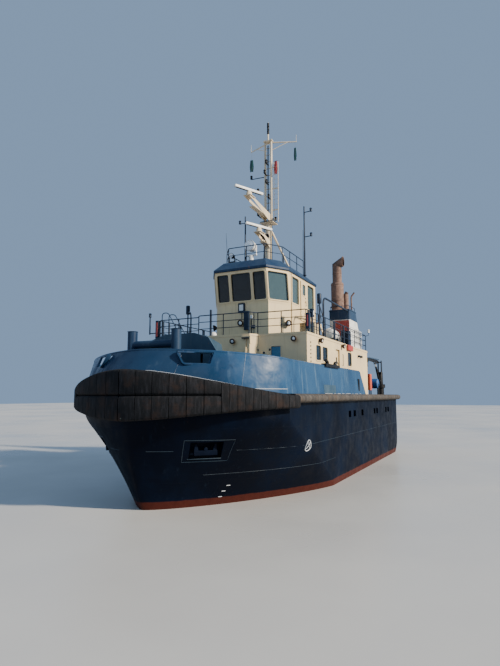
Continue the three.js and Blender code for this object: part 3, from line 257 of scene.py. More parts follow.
def hull_finish():
    """Navy plating over red boot topping, with weld lines every 2.3 m and 0.95 m."""
    material, tree = blank_finish("hull_paint")
    navy = layer(tree, (0.0001, 0.0013, 0.0056), (0.0005, 0.0044, 0.0160), (0.35, 0.75), 0.5, 6.0)
    # the scuffs and salt are partly painted reflection: their paler clouds stand in for sheen on the plating
    for over, edges, *cloud in (     # scuffs, salt, rust
            ((0.010, 0.024, 0.048), (0.62, 0.78, 0.22), 6.0, 6.0, (0.25, 0.25, 2.2), (0, 0, 0), 0.7),
            ((0.022, 0.038, 0.062), (0.60, 0.74, 0.14), 4.0, 5.0, (1.4, 1.4, 0.12), (4, 4, 0)),
            ((0.060, 0.026, 0.014), (0.68, 0.73, 0.7), 3.2, 8.0, (1, 1, 0.4), (9, 1, 2), 0.75)):
        navy = layer(tree, navy, over, edges, *cloud)
    height = axis_value(tree, "Z")
    waver = calc(tree, "MULTIPLY", noise(tree, 2.0, 5.0, (1, 1, 0.3)), 0.08)
    above = step(tree, calc(tree, "ADD", height, waver), BOOT_TOP + 0.02, BOOT_TOP + 0.06)
    red = blend_colours(tree, noise(tree, 5.0, 5.0), (0.030, 0.006, 0.0045), (0.065, 0.016, 0.011))
    inputs = {"Base Color": blend_colours(tree, above, red, navy), "Specular IOR Level": 0.06,
              "Roughness": calc(tree, "ADD", step(tree, noise(tree, 2.0, 6.0), 0.2, 0.9, 0.35), 0.38)}
    seams = calc(tree, "MAXIMUM", thin_lines(tree, axis_value(tree, "X"), 2.3, 0.03),
                 thin_lines(tree, height, 0.95, 0.03))
    dents = calc(tree, "MULTIPLY", noise(tree, 1.6, 3.0), 0.15)
    plates = calc(tree, "ADD", calc(tree, "MULTIPLY", seams, 0.6), dents)
    return complete(material, inputs, plates, 0.012, 0.6)


def bulwark_finish():
    """Mid blue paint, chalky in clouds, with white scrapes and runs, and painted shade that darkens it
    towards the stem.
    """
    material, tree = blank_finish("bulwark_paint")
    blue = layer(tree, (0.011, 0.040, 0.094), (0.023, 0.066, 0.138), (0.3, 0.7), 0.55, 4.0)
    for over, edges, *cloud in (     # runs, scrapes, dark spots
            ((0.085, 0.145, 0.215), (0.54, 0.76, 0.7), 2.6, 4.0, (1.3, 1.3, 0.16), (2, 7, 0)),
            ((0.24, 0.27, 0.30), (0.66, 0.72, 0.7), 3.5, 7.0, (0.5, 0.5, 1.5), (1, 1, 8), 0.8),
            ((0.005, 0.017, 0.042), (0.60, 0.72, 0.6), 2.0, 6.0, (1, 1, 1), (8, 3, 3), 0.7)):
        blue = layer(tree, blue, over, edges, *cloud)
    # painted shade: the paint darkens towards the stem, where the bow faces away from the sun
    painted_bow_shade = step(tree, axis_value(tree, "X"), 9.8, 11.2, 0.75)
    inputs = {"Base Color": blend_colours(tree, painted_bow_shade, blue, (0.004, 0.015, 0.038)),
              "Roughness": step(tree, noise(tree, 1.4, 6.0), 0.1, 0.9, 0.65),
              "Specular IOR Level": DARK_SHINE}
    return complete(material, inputs, noise(tree, 1.1, 3.0), 0.03, 0.7)


def rubber_finish(name, dark, light, brown, scale=1.0):
    """Old rubber: dark, rubbed lighter in vertical scuffs, with brown dirt."""
    material, tree = blank_finish(name)
    scuffs = noise(tree, 9.0 * scale, 6.0, (1.2, 1.2, 0.22), roughness=0.7)
    colour = blend_colours(tree, step(tree, scuffs, 0.42, 0.72), dark, light)
    colour = layer(tree, colour, brown, (0.48, 0.7, 0.8), 2.2, 5.0, (1, 1, 1), (3, 3, 3))
    inputs = {"Base Color": colour, "Roughness": 0.85, "Specular IOR Level": DARK_SHINE}
    return complete(material, inputs, calc(tree, "ADD", scuffs, noise(tree, 30.0, 4.0)), 0.006)


HULL = hull_finish()
BULWARK = bulwark_finish()
FENDER = rubber_finish("fender_rubber", (0.0030, 0.0036, 0.0050), (0.015, 0.0155, 0.019),
                       (0.020, 0.0115, 0.009))
STRAKE = rubber_finish("strake_rubber", (0.035, 0.032, 0.030), (0.10, 0.088, 0.078),
                       (0.065, 0.048, 0.036), 0.6)
print("hull finishes", 4)

# %% [markdown]
# The other finishes: rusted steel for the exhausts, tinted glass, bright metals, rope, and
# the small coloured fittings.

# %% Metals, glass, rope and signal colours
def plain_finish(name, base, second, rough=0.5, metallic=0.0, scale=12.0, depth=0.0006):
    """Two close colours in fine noise, for small fittings."""
    material, tree = blank_finish(name)
    grain = noise(tree, scale, 6.0)
    dull = step(tree, noise(tree, scale / 3, 4.0), -1.5 * (1 - rough), 2.4 - rough)
    colour = blend_colours(tree, step(tree, grain, 0.35, 0.65), base, second)
    return complete(material, {"Base Color": colour, "Roughness": dull, "Metallic": metallic}, grain, depth)


def rust_finish():
    """Steel burnt brown by heat, with soot and flakes."""
    material, tree = blank_finish("exhaust_rust")
    flakes = noise(tree, 6.0, 9.0, roughness=0.75)
    colour = blend_colours(tree, step(tree, flakes, 0.35, 0.65), (0.105, 0.056, 0.042), (0.19, 0.115, 0.085))
    colour = layer(tree, colour, (0.03, 0.022, 0.02), (0.5, 0.75, 0.85), 1.6, 4.0, (1, 1, 1), (1, 4, 1))
    return complete(material, {"Base Color": colour, "Roughness": 0.85}, flakes, 0.004)


def glass_finish(name, tint, opacity):
    """Tinted glass that mirrors the sky and lets some of the inside through. The panes at the
    sides, past the corner of the wheelhouse front, are paler than those ahead and below: a painted reflection
    of the sky."""
    material, tree = blank_finish(name)
    smudges = noise(tree, 3.0, 4.0)
    front = blend_colours(tree, smudges, tint, tuple(c * 1.6 for c in tint))
    pale = blend_colours(tree, smudges, (0.045, 0.080, 0.100), (0.070, 0.110, 0.125))
    # painted reflection: the wheelhouse side panes get a paler glass colour for the sky they mirror
    outboard = step(tree, calc(tree, "ABSOLUTE", axis_value(tree, "Y")), 1.42, 1.46)
    outboard = calc(tree, "MULTIPLY", outboard, step(tree, axis_value(tree, "Z"), 8.0, 8.1))
    inputs = {"Base Color": blend_colours(tree, outboard, front, pale), "Roughness": 0.06,
              "Specular IOR Level": 0.45, "Alpha": opacity}
    return complete(material, inputs, noise(tree, 0.8, 2.0), 0.002, 0.4)


RUST = rust_finish()
GLASS = glass_finish("window_glass", (0.004, 0.010, 0.016), 0.80)
LENS = plain_finish("lamp_lens", (0.80, 0.82, 0.84), (0.65, 0.68, 0.72), 0.12)
CHROME = plain_finish("bright_steel", (0.75, 0.76, 0.78), (0.6, 0.61, 0.63), 0.2, 1.0)
BRONZE = plain_finish("propeller_bronze", (0.48, 0.33, 0.13), (0.36, 0.26, 0.12), 0.35, 1.0, 5.0, 0.001)
ROPE = plain_finish("tow_rope", (0.36, 0.34, 0.28), (0.20, 0.20, 0.19), 0.9, 0.0, 60.0, 0.004)
RED = plain_finish("signal_red", (0.36, 0.035, 0.028), (0.25, 0.028, 0.022), 0.45)
BLUE = plain_finish("signal_blue", (0.012, 0.075, 0.24), (0.010, 0.055, 0.17), 0.6)
BLIND = plain_finish("blue_blind", (0.03, 0.15, 0.26), (0.02, 0.11, 0.20), 0.25)
PENNANT_GREEN = plain_finish("pennant_green", (0.006, 0.050, 0.045), (0.005, 0.035, 0.032), 0.85)
ORANGE = plain_finish("signal_orange", (0.50, 0.075, 0.025), (0.38, 0.055, 0.02), 0.6)
UPHOLSTERY = plain_finish("seat_cover", (0.018, 0.018, 0.020), (0.03, 0.03, 0.032), 0.6, 0.0, 150.0, 0.001)
FLOORING = plain_finish("floor_covering", (0.12, 0.115, 0.10), (0.16, 0.15, 0.13), 0.7)
FLOOR_PALE = plain_finish("studio_pale", (0.42, 0.415, 0.40), (0.40, 0.395, 0.385), 0.9, 0.0, 0.2, 0.0)
studio_floor.data.materials.append(FLOOR_PALE)

print("other finishes", 14)

# %% [markdown]
# Shapes are arrays of points. A surface on a grid is a table of points with one row for each
# step of one parameter and one column for each step of the other; tubes, turned parts and
# swept sections are all such grids. A part is a pair (points, faces), and several parts are
# gathered into one mesh.

# %% Helpers for shapes
ALONG, ACROSS, UP = (1, 0, 0), (0, 1, 0), (0, 0, 1)


def grid(points, around=True, ends=True):
    """Quads over a table of points (rows, columns, 3). around joins the last column to the
    first, and ends closes the first and last row with a polygon each."""
    rows, columns = points.shape[:2]
    index = np.arange(rows * columns).reshape(rows, columns)
    right = np.roll(index, -1, axis=1) if around else index[:, 1:]
    left = index if around else index[:, :-1]
    quads = np.stack([left[:-1], right[:-1], right[1:], left[1:]], axis=-1).reshape(-1, 4)
    faces = [tuple(q) for q in quads.tolist()]
    if ends and around:
        faces += [tuple(index[0, ::-1].tolist()), tuple(index[-1].tolist())]
    return points.reshape(-1, 3), faces


def tube(path, radius, sides=12, closed=False):
    """A round bar along a path: at each point a circle square to the path, whose start is
    carried along without twist. radius may be one number or one for each point."""
    path = np.asarray(path, float)
    count = len(path)
    ahead = np.roll(path, -1, 0) if closed else np.vstack([path[1:], path[-1:]])
    behind = np.roll(path, 1, 0) if closed else np.vstack([path[:1], path[:-1]])
    along = ahead - behind
    along /= np.linalg.norm(along, axis=1)[:, None]
    side = np.cross(along[0], UP if abs(along[0, 2]) < 0.9 else ALONG)
    sides_at = np.empty((count, 3))
    for i in range(count):
        side = side - along[i] * side.dot(along[i])
        side /= np.linalg.norm(side)
        sides_at[i] = side
    up = np.cross(along, sides_at)
    angle = np.linspace(0, 2 * np.pi, sides, endpoint=False)
    radii = np.broadcast_to(np.asarray(radius, float), (count,))[:, None, None]
    ring = (np.cos(angle)[None, :, None] * sides_at[:, None] + np.sin(angle)[None, :, None] * up[:, None])
    points = path[:, None] + ring * radii
    return grid(np.vstack([points, points[:1]]), True, False) if closed else grid(points)


def bar(start, end, radius, sides=12, end_radius=None):
    """A straight round bar between two points."""
    return tube([start, end], [radius, end_radius or radius], sides)


def post(x, y, low, high, radius, sides=12, end_radius=None):
    """An upright bar between two heights."""
    return bar((x, y, low), (x, y, high), radius, sides, end_radius)


def turned(profile, centre=(0, 0, 0), axis=UP, sides=32):
    """A profile of (radius, distance along the axis) turned about the axis."""
    profile = np.asarray(profile, float)
    rotation = np.array(Vector(UP).rotation_difference(Vector(axis)).to_matrix())
    angle = np.linspace(0, 2 * np.pi, sides, endpoint=False)
    points = np.empty((len(profile), sides, 3))
    points[..., 0] = profile[:, :1] * np.cos(angle)
    points[..., 1] = profile[:, :1] * np.sin(angle)
    points[..., 2] = profile[:, 1:]
    return grid(points @ rotation.T + np.asarray(centre, float))


def disc(radius, low, high, centre, axis=UP, sides=24):
    """A plain cylinder between two distances along its axis."""
    return turned([(0, low), (radius, low), (radius, high), (0, high)], centre, axis, sides)


def block(low, high):
    """A box between two corners; its edges are rounded later by a bevel."""
    (x0, y0, z0), (x1, y1, z1) = low, high
    points = [(x, y, z) for z in (z0, z1) for x, y in ((x0, y0), (x1, y0), (x1, y1), (x0, y1))]
    faces = [(3, 2, 1, 0), (4, 5, 6, 7), (0, 1, 5, 4), (1, 2, 6, 5), (2, 3, 7, 6), (3, 0, 4, 7)]
    return np.array(points, float), faces


def slab(outline, base, thickness, u=ALONG, v=UP):
    """A flat plate: an outline of (a, b) laid on the axes u and v from a base point, made
    thick along u x v. It stands fore and aft unless u and v say otherwise."""
    u, v = np.asarray(u, float), np.asarray(v, float)
    flat = np.asarray(outline, float)
    lower = np.asarray(base, float) + flat[:, :1] * u + flat[:, 1:] * v
    return grid(np.stack([lower, lower + np.cross(u, v) * thickness]))


def shifted(part, offset):
    """The same part moved."""
    return part[0] + np.asarray(offset, float), part[1]


def flipped(part):
    """The part's mirror image across the centreline, with its faces still pointing out."""
    return part[0] * (1, -1, 1), [face[::-1] for face in part[1]]


def both_sides(*parts):
    """Parts and their mirror images."""
    return [*parts, *(flipped(part) for part in parts)]


def handed(parts, side):
    """Parts as they are for port, and their mirror images for starboard."""
    return parts if side > 0 else [flipped(part) for part in parts]


def symmetric(half, *middle):
    """A profile of (radius, distance) followed by its mirror image."""
    return [*half, *middle, *((radius, -distance) for radius, distance in half[::-1])]


def circle(count):
    """Angles spaced evenly round a circle."""
    return np.linspace(0, 2 * np.pi, count, endpoint=False)


def smooth(mesh, sharp):
    """Shades a mesh smooth, but for its edges sharper than an angle in degrees."""
    mesh.polygons.foreach_set("use_smooth", np.ones(len(mesh.polygons), bool))
    mesh.set_sharp_from_angle(angle=math.radians(sharp))


def piece(name, parts, finish, body="boat", slot=None, stands_for=None, bevel=0.0, sharp=40.0, segments=2):
    """One object of all the parts, with its finish, its body and the solid it stands for."""
    mesh = bpy.data.meshes.new(name)
    points, faces, offset = [], [], 0
    for part_points, part_faces in parts:
        points.append(part_points)
        faces.extend(tuple(i + offset for i in face) for face in part_faces)
        offset += len(part_points)
    mesh.from_pydata(np.vstack(points).tolist(), [], faces)
    smooth(mesh, sharp)
    mesh.materials.append(finish)
    made = add_object(name, mesh)
    if bevel:
        rounding = made.modifiers.new("rounding", "BEVEL")
        rounding.width = bevel
        rounding.segments = segments
        rounding.limit_method = "ANGLE"
        rounding.angle_limit = math.radians(sharp)
        rounding.harden_normals = True
    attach(made, body)
    if stands_for:
        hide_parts(stands_for)
    print(f"{name}: {len(mesh.vertices)} points, {len(mesh.polygons)} faces")
    return made


def dressed(solid, parts, finish, body="boat", **more):
    """The piece that stands for a solid and is named after it."""
    return piece(f"{solid}_dressed", parts, finish, body, stands_for=solid, **more)


def repaint(finish, *nodes):
    """Gives solids that keep their own shape a better finish."""
    for name in nodes:
        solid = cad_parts[name]
        solid.data.materials.clear()
        solid.data.materials.append(finish)


def coat_deck(mesh, level):
    """Deck paint for the faces of a mesh that look up at a level."""
    mesh.materials.append(DECK_PAINT)
    for face in mesh.polygons:
        if face.normal.z > 0.95 and abs(face.center.z - level) < 0.03:
            face.material_index = 1


# %% [markdown]
# The hull is a stack of waterlines. Each is a bow curve, straight sides and a transom with
# round corners, and a table gives its sizes at a few heights. Between the heights the sizes
# are joined and then smoothed, as a shipwright fairs a hull with a batten.

# %% Waterlines
MAIN_DECK, FORE_DECK, DECK_STEP, HOUSE_TOP = 2.80, 4.05, -3.10, 6.78
BRIDGE_FLOOR, EAVES, ROOF_TOP = 7.80, 10.25, 10.86
PLATE_GAP = 0.0003
KEEL = -2.6
# height, transom, start of the bow curve, stem, half breadth, fullness of the bow curve
WATERLINES = np.array([
    (-2.60, -4.40, 0.50, 8.90, 1.90, 1.30),
    (-2.15, -5.80, 0.90, 9.30, 3.50, 1.30),
    (-1.30, -9.20, 1.70, 10.05, 4.25, 1.30),
    (-0.45, -12.30, 2.70, 10.68, 4.52, 1.28),
    (0.50, -13.25, 3.70, 11.18, 4.60, 1.32),
    (1.60, -13.30, 5.60, 11.60, 4.62, 1.42),
    (3.10, -13.30, 8.50, 11.95, 4.62, 1.57),
    (4.05, -13.30, 8.50, 11.95, 4.62, 1.57),
])
HALF_BREADTH = 4.62
BULWARK_RAIL = np.array((5.5, 0.0, 8.30, 11.33, 4.54, 1.57))
CORNER = 1.0
BOW_STEPS, CORNER_STEPS = 48, 8


def faired(height, width=0.3):
    """The table's sizes at a height, averaged over a short span above and below it."""
    near = np.clip(height + np.linspace(-width, width, 9), KEEL, FORE_DECK)
    return np.array([height, *(np.interp(near, WATERLINES[:, 0], WATERLINES[:, k]).mean()
                               for k in range(1, 6))])


def bow_curve(line, steps=BOW_STEPS):
    """From the port shoulder round the stem to starboard: x = shoulder + reach cos(a)^(2/n),
    y = half sin(a)^(2/n), for a from +90 to -90 degrees, where n is the fullness."""
    _, _, shoulder, stem, half, fullness = line
    angle = np.linspace(np.pi / 2, -np.pi / 2, 2 * steps + 1)
    x = shoulder + (stem - shoulder) * np.clip(np.cos(angle), 0, 1) ** (2 / fullness)
    y = half * np.sign(angle) * np.abs(np.sin(angle)) ** (2 / fullness)
    return np.column_stack([x, y])


def stern_curve(line):
    """From starboard round the transom to port, with quarter circles at the corners."""
    _, transom, _, _, half, _ = line
    radius = min(CORNER, half * 0.5)
    angle = np.linspace(0, np.pi / 2, CORNER_STEPS + 1)
    port = np.column_stack([transom + radius * (1 - np.sin(angle)), half - radius * (1 - np.cos(angle))])
    return np.vstack([port * (1, -1), port[::-1]])


def set_off(path, distance):
    """A path of (x, y) moved square to itself, to the right of its direction when positive."""
    along = np.gradient(path, axis=0)
    along /= np.linalg.norm(along, axis=1)[:, None]
    return path + np.column_stack([along[:, 1], -along[:, 0]]) * distance


def at_height(path, height):
    """(x, y) points given a height, which may be one number or one for each point."""
    return np.column_stack([path, np.broadcast_to(height, (len(path),))])


print("bow at the water", bow_curve(faired(0.0))[BOW_STEPS])

# %% [markdown]
# The plating is the surface through those waterlines. A transom and a stem close it, the deck
# closes the top, and the skeg and the two round boxes that carry the thrusters stand under it.
# The anchors' pockets are cut out of the bow afterwards with a boolean, and each gets a lip.

# %% Hull plating
THRUSTER_X, THRUSTER_Y, THRUSTER_SEAT, SHAFT = -10.6, 2.15, -1.5, -2.8
SKEG_FOOT = KEEL - 0.75
BOW_TURN = math.radians(47)
POCKET = (10.4, 2.25, 2.08)
POCKET_LENGTH, POCKET_DEPTH, POCKET_HEIGHT = 1.15, 0.32, 0.64


def closed_outline(line, stern):
    """One whole waterline, anticlockwise from above, starting at the stem."""
    bow = bow_curve(line)
    return np.vstack([bow[BOW_STEPS::-1], stern, bow[:BOW_STEPS:-1]])


def plating(heights, stern_at):
    """The surface through the waterlines at some heights, closed at both ends."""
    rows = [(z, faired(z)) for z in heights]
    return grid(np.stack([at_height(closed_outline(line, stern_at(line)), z) for z, line in rows]))


def bow_frame(side, at):
    """A matrix whose X runs along the bow plating, Y points out of it and Z is up."""
    x, y, z = at
    sine, cosine = math.sin(BOW_TURN), math.cos(BOW_TURN)
    turn = Matrix(((-sine, cosine, 0), (side * cosine, side * sine, 0), UP))
    return Matrix.Translation((x, side * y, z)) @ turn.to_4x4()


def through(matrix, part):
    """A part carried by a matrix; a mirroring matrix turns its faces round."""
    m = np.array(matrix)
    points = part[0] @ m[:3, :3].T + m[:3, 3]
    return points, [face[::-1] for face in part[1]] if np.linalg.det(m[:3, :3]) < 0 else part[1]


def carve(made, cutters):
    """Cuts closed parts out of a piece and keeps the result as its mesh."""
    for points, faces in cutters:
        mesh = bpy.data.meshes.new("cutter")
        mesh.from_pydata(points.tolist(), [], faces)
        tool = add_object("cutter", mesh)
        cut = made.modifiers.new("cut", "BOOLEAN")
        cut.operation, cut.solver, cut.object = "DIFFERENCE", "EXACT", tool
        bpy.context.view_layer.update()
        shaped = bpy.data.meshes.new_from_object(made.evaluated_get(bpy.context.evaluated_depsgraph_get()))
        made.modifiers.remove(cut)
        made.data = shaped
        bpy.data.objects.remove(tool)
    smooth(made.data, 35)


skeg = slab([(7.0, -2.5), (6.3, SKEG_FOOT), (-7.9, SKEG_FOOT), (-8.6, -2.2), (-8.6, -1.2), (-3.0, -1.2)],
            (0, 0.13, 0), 0.26)
head_box = turned([(0.0, THRUSTER_SEAT), (0.76, THRUSTER_SEAT), (0.78, THRUSTER_SEAT + 0.02), (0.78, -0.3),
                   (0.0, -0.3)], (THRUSTER_X, THRUSTER_Y, 0), sides=48)
hull_sides = plating(np.linspace(KEEL, MAIN_DECK, 64), lambda line: stern_curve(line)[::-1])
hull = piece("hull_plating", [hull_sides], HULL, stands_for="hull", sharp=35)
pocket_box = block((-POCKET_LENGTH / 2, -POCKET_DEPTH, -POCKET_HEIGHT / 2),
                   (POCKET_LENGTH / 2, 0.9, POCKET_HEIGHT / 2))
carve(hull, [through(bow_frame(side, POCKET), pocket_box) for side in (1, -1)])
coat_deck(hull.data, MAIN_DECK)
piece("skeg_and_head_boxes", [skeg, *both_sides(head_box)], ANTIFOUL, slot="hull_paint", bevel=0.01)

# %% [markdown]
# Forward the deck is a step higher: more of the same plating, between two heights. The after
# deck has a plain bulwark, one section carried round the stern, so that its inner face follows
# the outer one. Freeing ports, which let the sea run off the deck, are cut with boxes.

# %% Raised fore deck and after bulwark
PORT_LENGTH, PORT_HEIGHT, PORT_FOOT = 0.46, 0.32, 2.90


def freeing_port(x, y, reach):
    """A box that cuts a freeing port, reaching some way to both sides of y."""
    return block((x - PORT_LENGTH / 2, y - reach, PORT_FOOT),
                 (x + PORT_LENGTH / 2, y + reach, PORT_FOOT + PORT_HEIGHT))


raised = plating(np.linspace(MAIN_DECK + PLATE_GAP, FORE_DECK, 12),
                 lambda line: [(DECK_STEP, line[4]), (DECK_STEP, -line[4])])
fore_deck = piece("fore_deck_plating", [raised], HULL, stands_for="raised_foredeck", sharp=35)
carve(fore_deck, [freeing_port(x, side * HALF_BREADTH, 0.14) for x in (0.40, -0.55, -2.20)
                  for side in (1, -1)])
coat_deck(fore_deck.data, FORE_DECK)

BULWARK_PLATE = 0.09
stern_path = np.vstack([[(DECK_STEP - PLATE_GAP, -HALF_BREADTH)], stern_curve(faired(3.6)),
                        [(DECK_STEP - PLATE_GAP, HALF_BREADTH)]])
stern_inner = set_off(stern_path, BULWARK_PLATE)
stern_wall = np.stack([at_height(path, z) for path, z in (
    (stern_path, MAIN_DECK + PLATE_GAP), (stern_path, FORE_DECK),
    (stern_inner, FORE_DECK), (stern_inner, MAIN_DECK + PLATE_GAP))], axis=1)
after_bulwark = piece("after_bulwark_plating", [grid(stern_wall[::-1])], HULL, stands_for="bulwark_aft")
carve(after_bulwark, [freeing_port(x, 0, 6) for x in (-5.2, -5.9, -8.6, -9.35)])

# %% [markdown]
# The forward bulwark stands on the deck edge. It is upright behind the fender and leans in
# above it. Along each side its top is level; round the bow it rises. A round bar finishes the
# top edge, brackets hold it from inside, and a slanting opening on each bow lets a line out.

# %% Forward bulwark
FENDER_DEPTH = 0.42


def round_bow(x, line):
    """How far round the bow curve a point is: 0 at the shoulder and 1 at the stem."""
    return np.clip((x - line[2]) / (line[3] - line[2]), 0, 1)


def fender_head(part):
    """Height of the fender's upper edge, which climbs to the stem: 3.99 + 0.88 s^1.6."""
    return 3.99 + 0.88 * part ** 1.6


def fender_foot(part):
    """Height of its lower edge, which drops to the stem: 3.53 - 0.41 s^2.4."""
    return 3.53 - 0.41 * part ** 2.4


def with_sides(bow, half):
    """A bow curve with the straight sides put before and after it."""
    port = np.column_stack([side_x, np.full(len(side_x), half)])
    return np.vstack([port, bow, port[::-1] * (1, -1)])


def bulwark_sheet(inset):
    """Foot, knuckle and head of the bulwark's face, moved inboard by a distance."""
    foot, top = set_off(foot_path, inset), set_off(top_path, inset)
    return [at_height(foot, FORE_DECK + PLATE_GAP), at_height(foot, knuckle), at_height(top, head_height)]


deck_line = faired(FORE_DECK, 0.0)
side_x = np.array([DECK_STEP, -2.24, -2.08, 0.0, 3.0, 6.0])
side_rise = np.array([0.06, 1.18, 1.235, 1.24, 1.23, 1.23])
foot_path = with_sides(bow_curve(deck_line), deck_line[4])
top_path = with_sides(bow_curve(BULWARK_RAIL), BULWARK_RAIL[4])
part_round = round_bow(foot_path[:, 0], deck_line)
head_height = 5.28 + 0.30 * part_round
head_height[:len(side_x)] = FORE_DECK + side_rise
head_height[-len(side_x):] = FORE_DECK + side_rise[::-1]
knuckle = np.minimum(np.maximum(fender_head(part_round), FORE_DECK + 0.15), (FORE_DECK + head_height) / 2)
outer_sheet, inner_sheet = bulwark_sheet(0.0), bulwark_sheet(BULWARK_PLATE)
bulwark_wall = grid(np.stack([*outer_sheet, *inner_sheet[::-1]], axis=1))
forward_bulwark = piece("forward_bulwark_plating", [bulwark_wall], BULWARK, stands_for="bulwark_forward",
                        sharp=50)
HAWSE = (10.86, 2.09, 5.27)
hawse_cutter = slab([(-0.62, 0.20), (-0.45, -0.20), (0.45, -0.20), (0.62, 0.20)], (0, 0.7, 0), 1.4)
carve(forward_bulwark, [through(bow_frame(side, HAWSE), hawse_cutter) for side in (1, -1)])
piece("bulwark_cap_bar", [tube((outer_sheet[2] + inner_sheet[2]) / 2, 0.055, 10)], BULWARK)


# %% [markdown]
# A welded lip frames each opening. It is a section carried round a closed outline and then
# bent to the plating, where a bevel of the cut edge would give no lip at all.

# %% Hawse frames and stays
def moulding(outline, section, matrix):
    """A section (offset out of the outline, height) carried round a closed flat outline."""
    outline, section = np.asarray(outline, float), np.asarray(section, float)
    along = np.roll(outline, -1, 0) - np.roll(outline, 1, 0)
    along /= np.linalg.norm(along, axis=1)[:, None]
    out = np.column_stack([along[:, 1], -along[:, 0]])
    points = np.empty((len(outline) + 1, len(section), 3))
    wrapped = np.arange(len(outline) + 1) % len(outline)
    flat = outline[wrapped][:, None] + out[wrapped][:, None] * section[None, :, :1]
    points[..., 0], points[..., 2] = flat[..., 0], flat[..., 1]
    points[..., 1] = section[:, 1]
    return through(matrix, grid(points, True, False))


def rounded(half_width, half_height, radius, steps=4):
    """A rectangle with quarter circles at its corners, anticlockwise from the right."""
    angle = np.linspace(0, np.pi / 2, steps + 1)
    arc = np.column_stack([np.cos(angle), np.sin(angle)]) * radius
    corner = np.array([half_width - radius, half_height - radius])
    first, second = corner + arc, (corner + arc[::-1]) * (-1, 1)
    return np.vstack([first, second, -first, -second])


HAWSE_LIP = [(-0.02, -0.14), (0.045, -0.14), (0.045, 0.02), (-0.02, 0.02)]
hawse_round = [(-0.62, 0.20), (-0.60, 0.14), (-0.47, -0.17), (-0.41, -0.20), (0.41, -0.20), (0.47, -0.17),
               (0.60, 0.14), (0.62, 0.20)]
lip_points, lip_faces = moulding(hawse_round, HAWSE_LIP, Matrix())
beside = np.argmin(np.linalg.norm(outer_sheet[2][:, :2] - HAWSE[:2], axis=1))
rise = outer_sheet[2][beside] - outer_sheet[1][beside]
hawse_lean = -rise @ np.array(bow_frame(1, HAWSE).col[1][:3]) / rise[2]
# the lip lies along the plating, which leans and is bent
lip_points[:, 1] -= hawse_lean * lip_points[:, 2] + 0.13 * lip_points[:, 0] ** 2
print(f"hawse lean {hawse_lean:.2f}")
hawse_frames = [through(bow_frame(side, HAWSE), (lip_points, lip_faces)) for side in (1, -1)]
stays = [slab([(0, 0), (0.45, 0), (0, 0.95)], (x, 4.53, FORE_DECK), 0.014, (0, -1, 0))
         for x in np.arange(-1.5, 8.0, 1.35)]
piece("hawse_frames_and_stays", [*hawse_frames, *both_sides(*stays)], BULWARK, bevel=0.006)

# %% [markdown]
# The fender round the bow is a row of big rubber blocks, each about half a metre long, with a
# horizontal joint between a lower and an upper row; aft of the bow one row of narrow blocks
# goes on. A block is a rounded section carried along a short stretch of the bow curve. The
# strake round the stern is made in the same way from a D section in longer lengths.

# %% Fender blocks and rubbing strake
BLOCK, JOINT, ROW_JOINT = 0.545, 0.022, 3.985


def lengths_along(path, depths, heights, length, joint, samples=7):
    """Blocks along a path. depths are the distances of the section's corners from the path,
    and heights(x of each sample) gives their heights as an array (samples, corners)."""
    run = np.concatenate([[0], np.cumsum(np.linalg.norm(np.diff(path, axis=0), axis=1))])
    rails = [set_off(path, -depth) for depth in depths]
    count = max(round(run[-1] / length), 1)
    blocks = []
    for k in range(count):
        at = np.linspace(run[-1] * k / count + joint / 2, run[-1] * (k + 1) / count - joint / 2, samples)
        points = np.empty((samples, len(depths), 3))
        for c, rail in enumerate(rails):
            points[:, c, 0] = np.interp(at, run, rail[:, 0])
            points[:, c, 1] = np.interp(at, run, rail[:, 1])
        points[..., 2] = heights(np.interp(at, run, path[:, 0]))
        blocks.append(grid(points))
    return blocks


def row_heights(low, high):
    """Eight corner heights of a rounded block between two height arrays."""
    edge = np.minimum((high - low) * 0.2, 0.09)
    steps = np.array([0, 0, 0.35, 1, -1, -0.35, 0, 0])
    base = np.where(np.arange(8) < 4, low[:, None], high[:, None])
    return base + edge[:, None] * steps


def lower_row(x):
    """Corner heights of the blocks under the joint."""
    return row_heights(fender_foot(round_bow(x, deck_line)), np.full_like(x, ROW_JOINT - 0.004))


def upper_row(x):
    """Corner heights of the blocks over the joint."""
    return row_heights(np.full_like(x, ROW_JOINT + 0.004), fender_head(round_bow(x, deck_line)))


def single_row(x):
    """Corner heights of the narrow blocks that take both rows' place."""
    part = round_bow(x, deck_line)
    return row_heights(fender_foot(part), np.maximum(fender_head(part), ROW_JOINT + 0.02))


fender_path = bow_curve(deck_line, 160)
FENDER_SECTION = [PLATE_GAP, *(FENDER_DEPTH - inset for inset in (0.10, 0.03, 0, 0, 0.03, 0.10)), PLATE_GAP]
ahead = np.flatnonzero(fender_path[:, 0] > 10.7)      # two rows round the stem, narrow blocks aft of them
first, last = ahead[0], ahead[-1]
stretches = [(fender_path[first:last + 1], row, BLOCK, JOINT) for row in (lower_row, upper_row)]
stretches += [(path, single_row, 0.26, 0.014) for path in (fender_path[:first + 1], fender_path[last:])]
fender_blocks = []
for path, row, length, joint in stretches:
    fender_blocks += lengths_along(path, FENDER_SECTION, row, length, joint)
piece("bow_fender_blocks", fender_blocks, FENDER, stands_for="bow_fender", sharp=50)

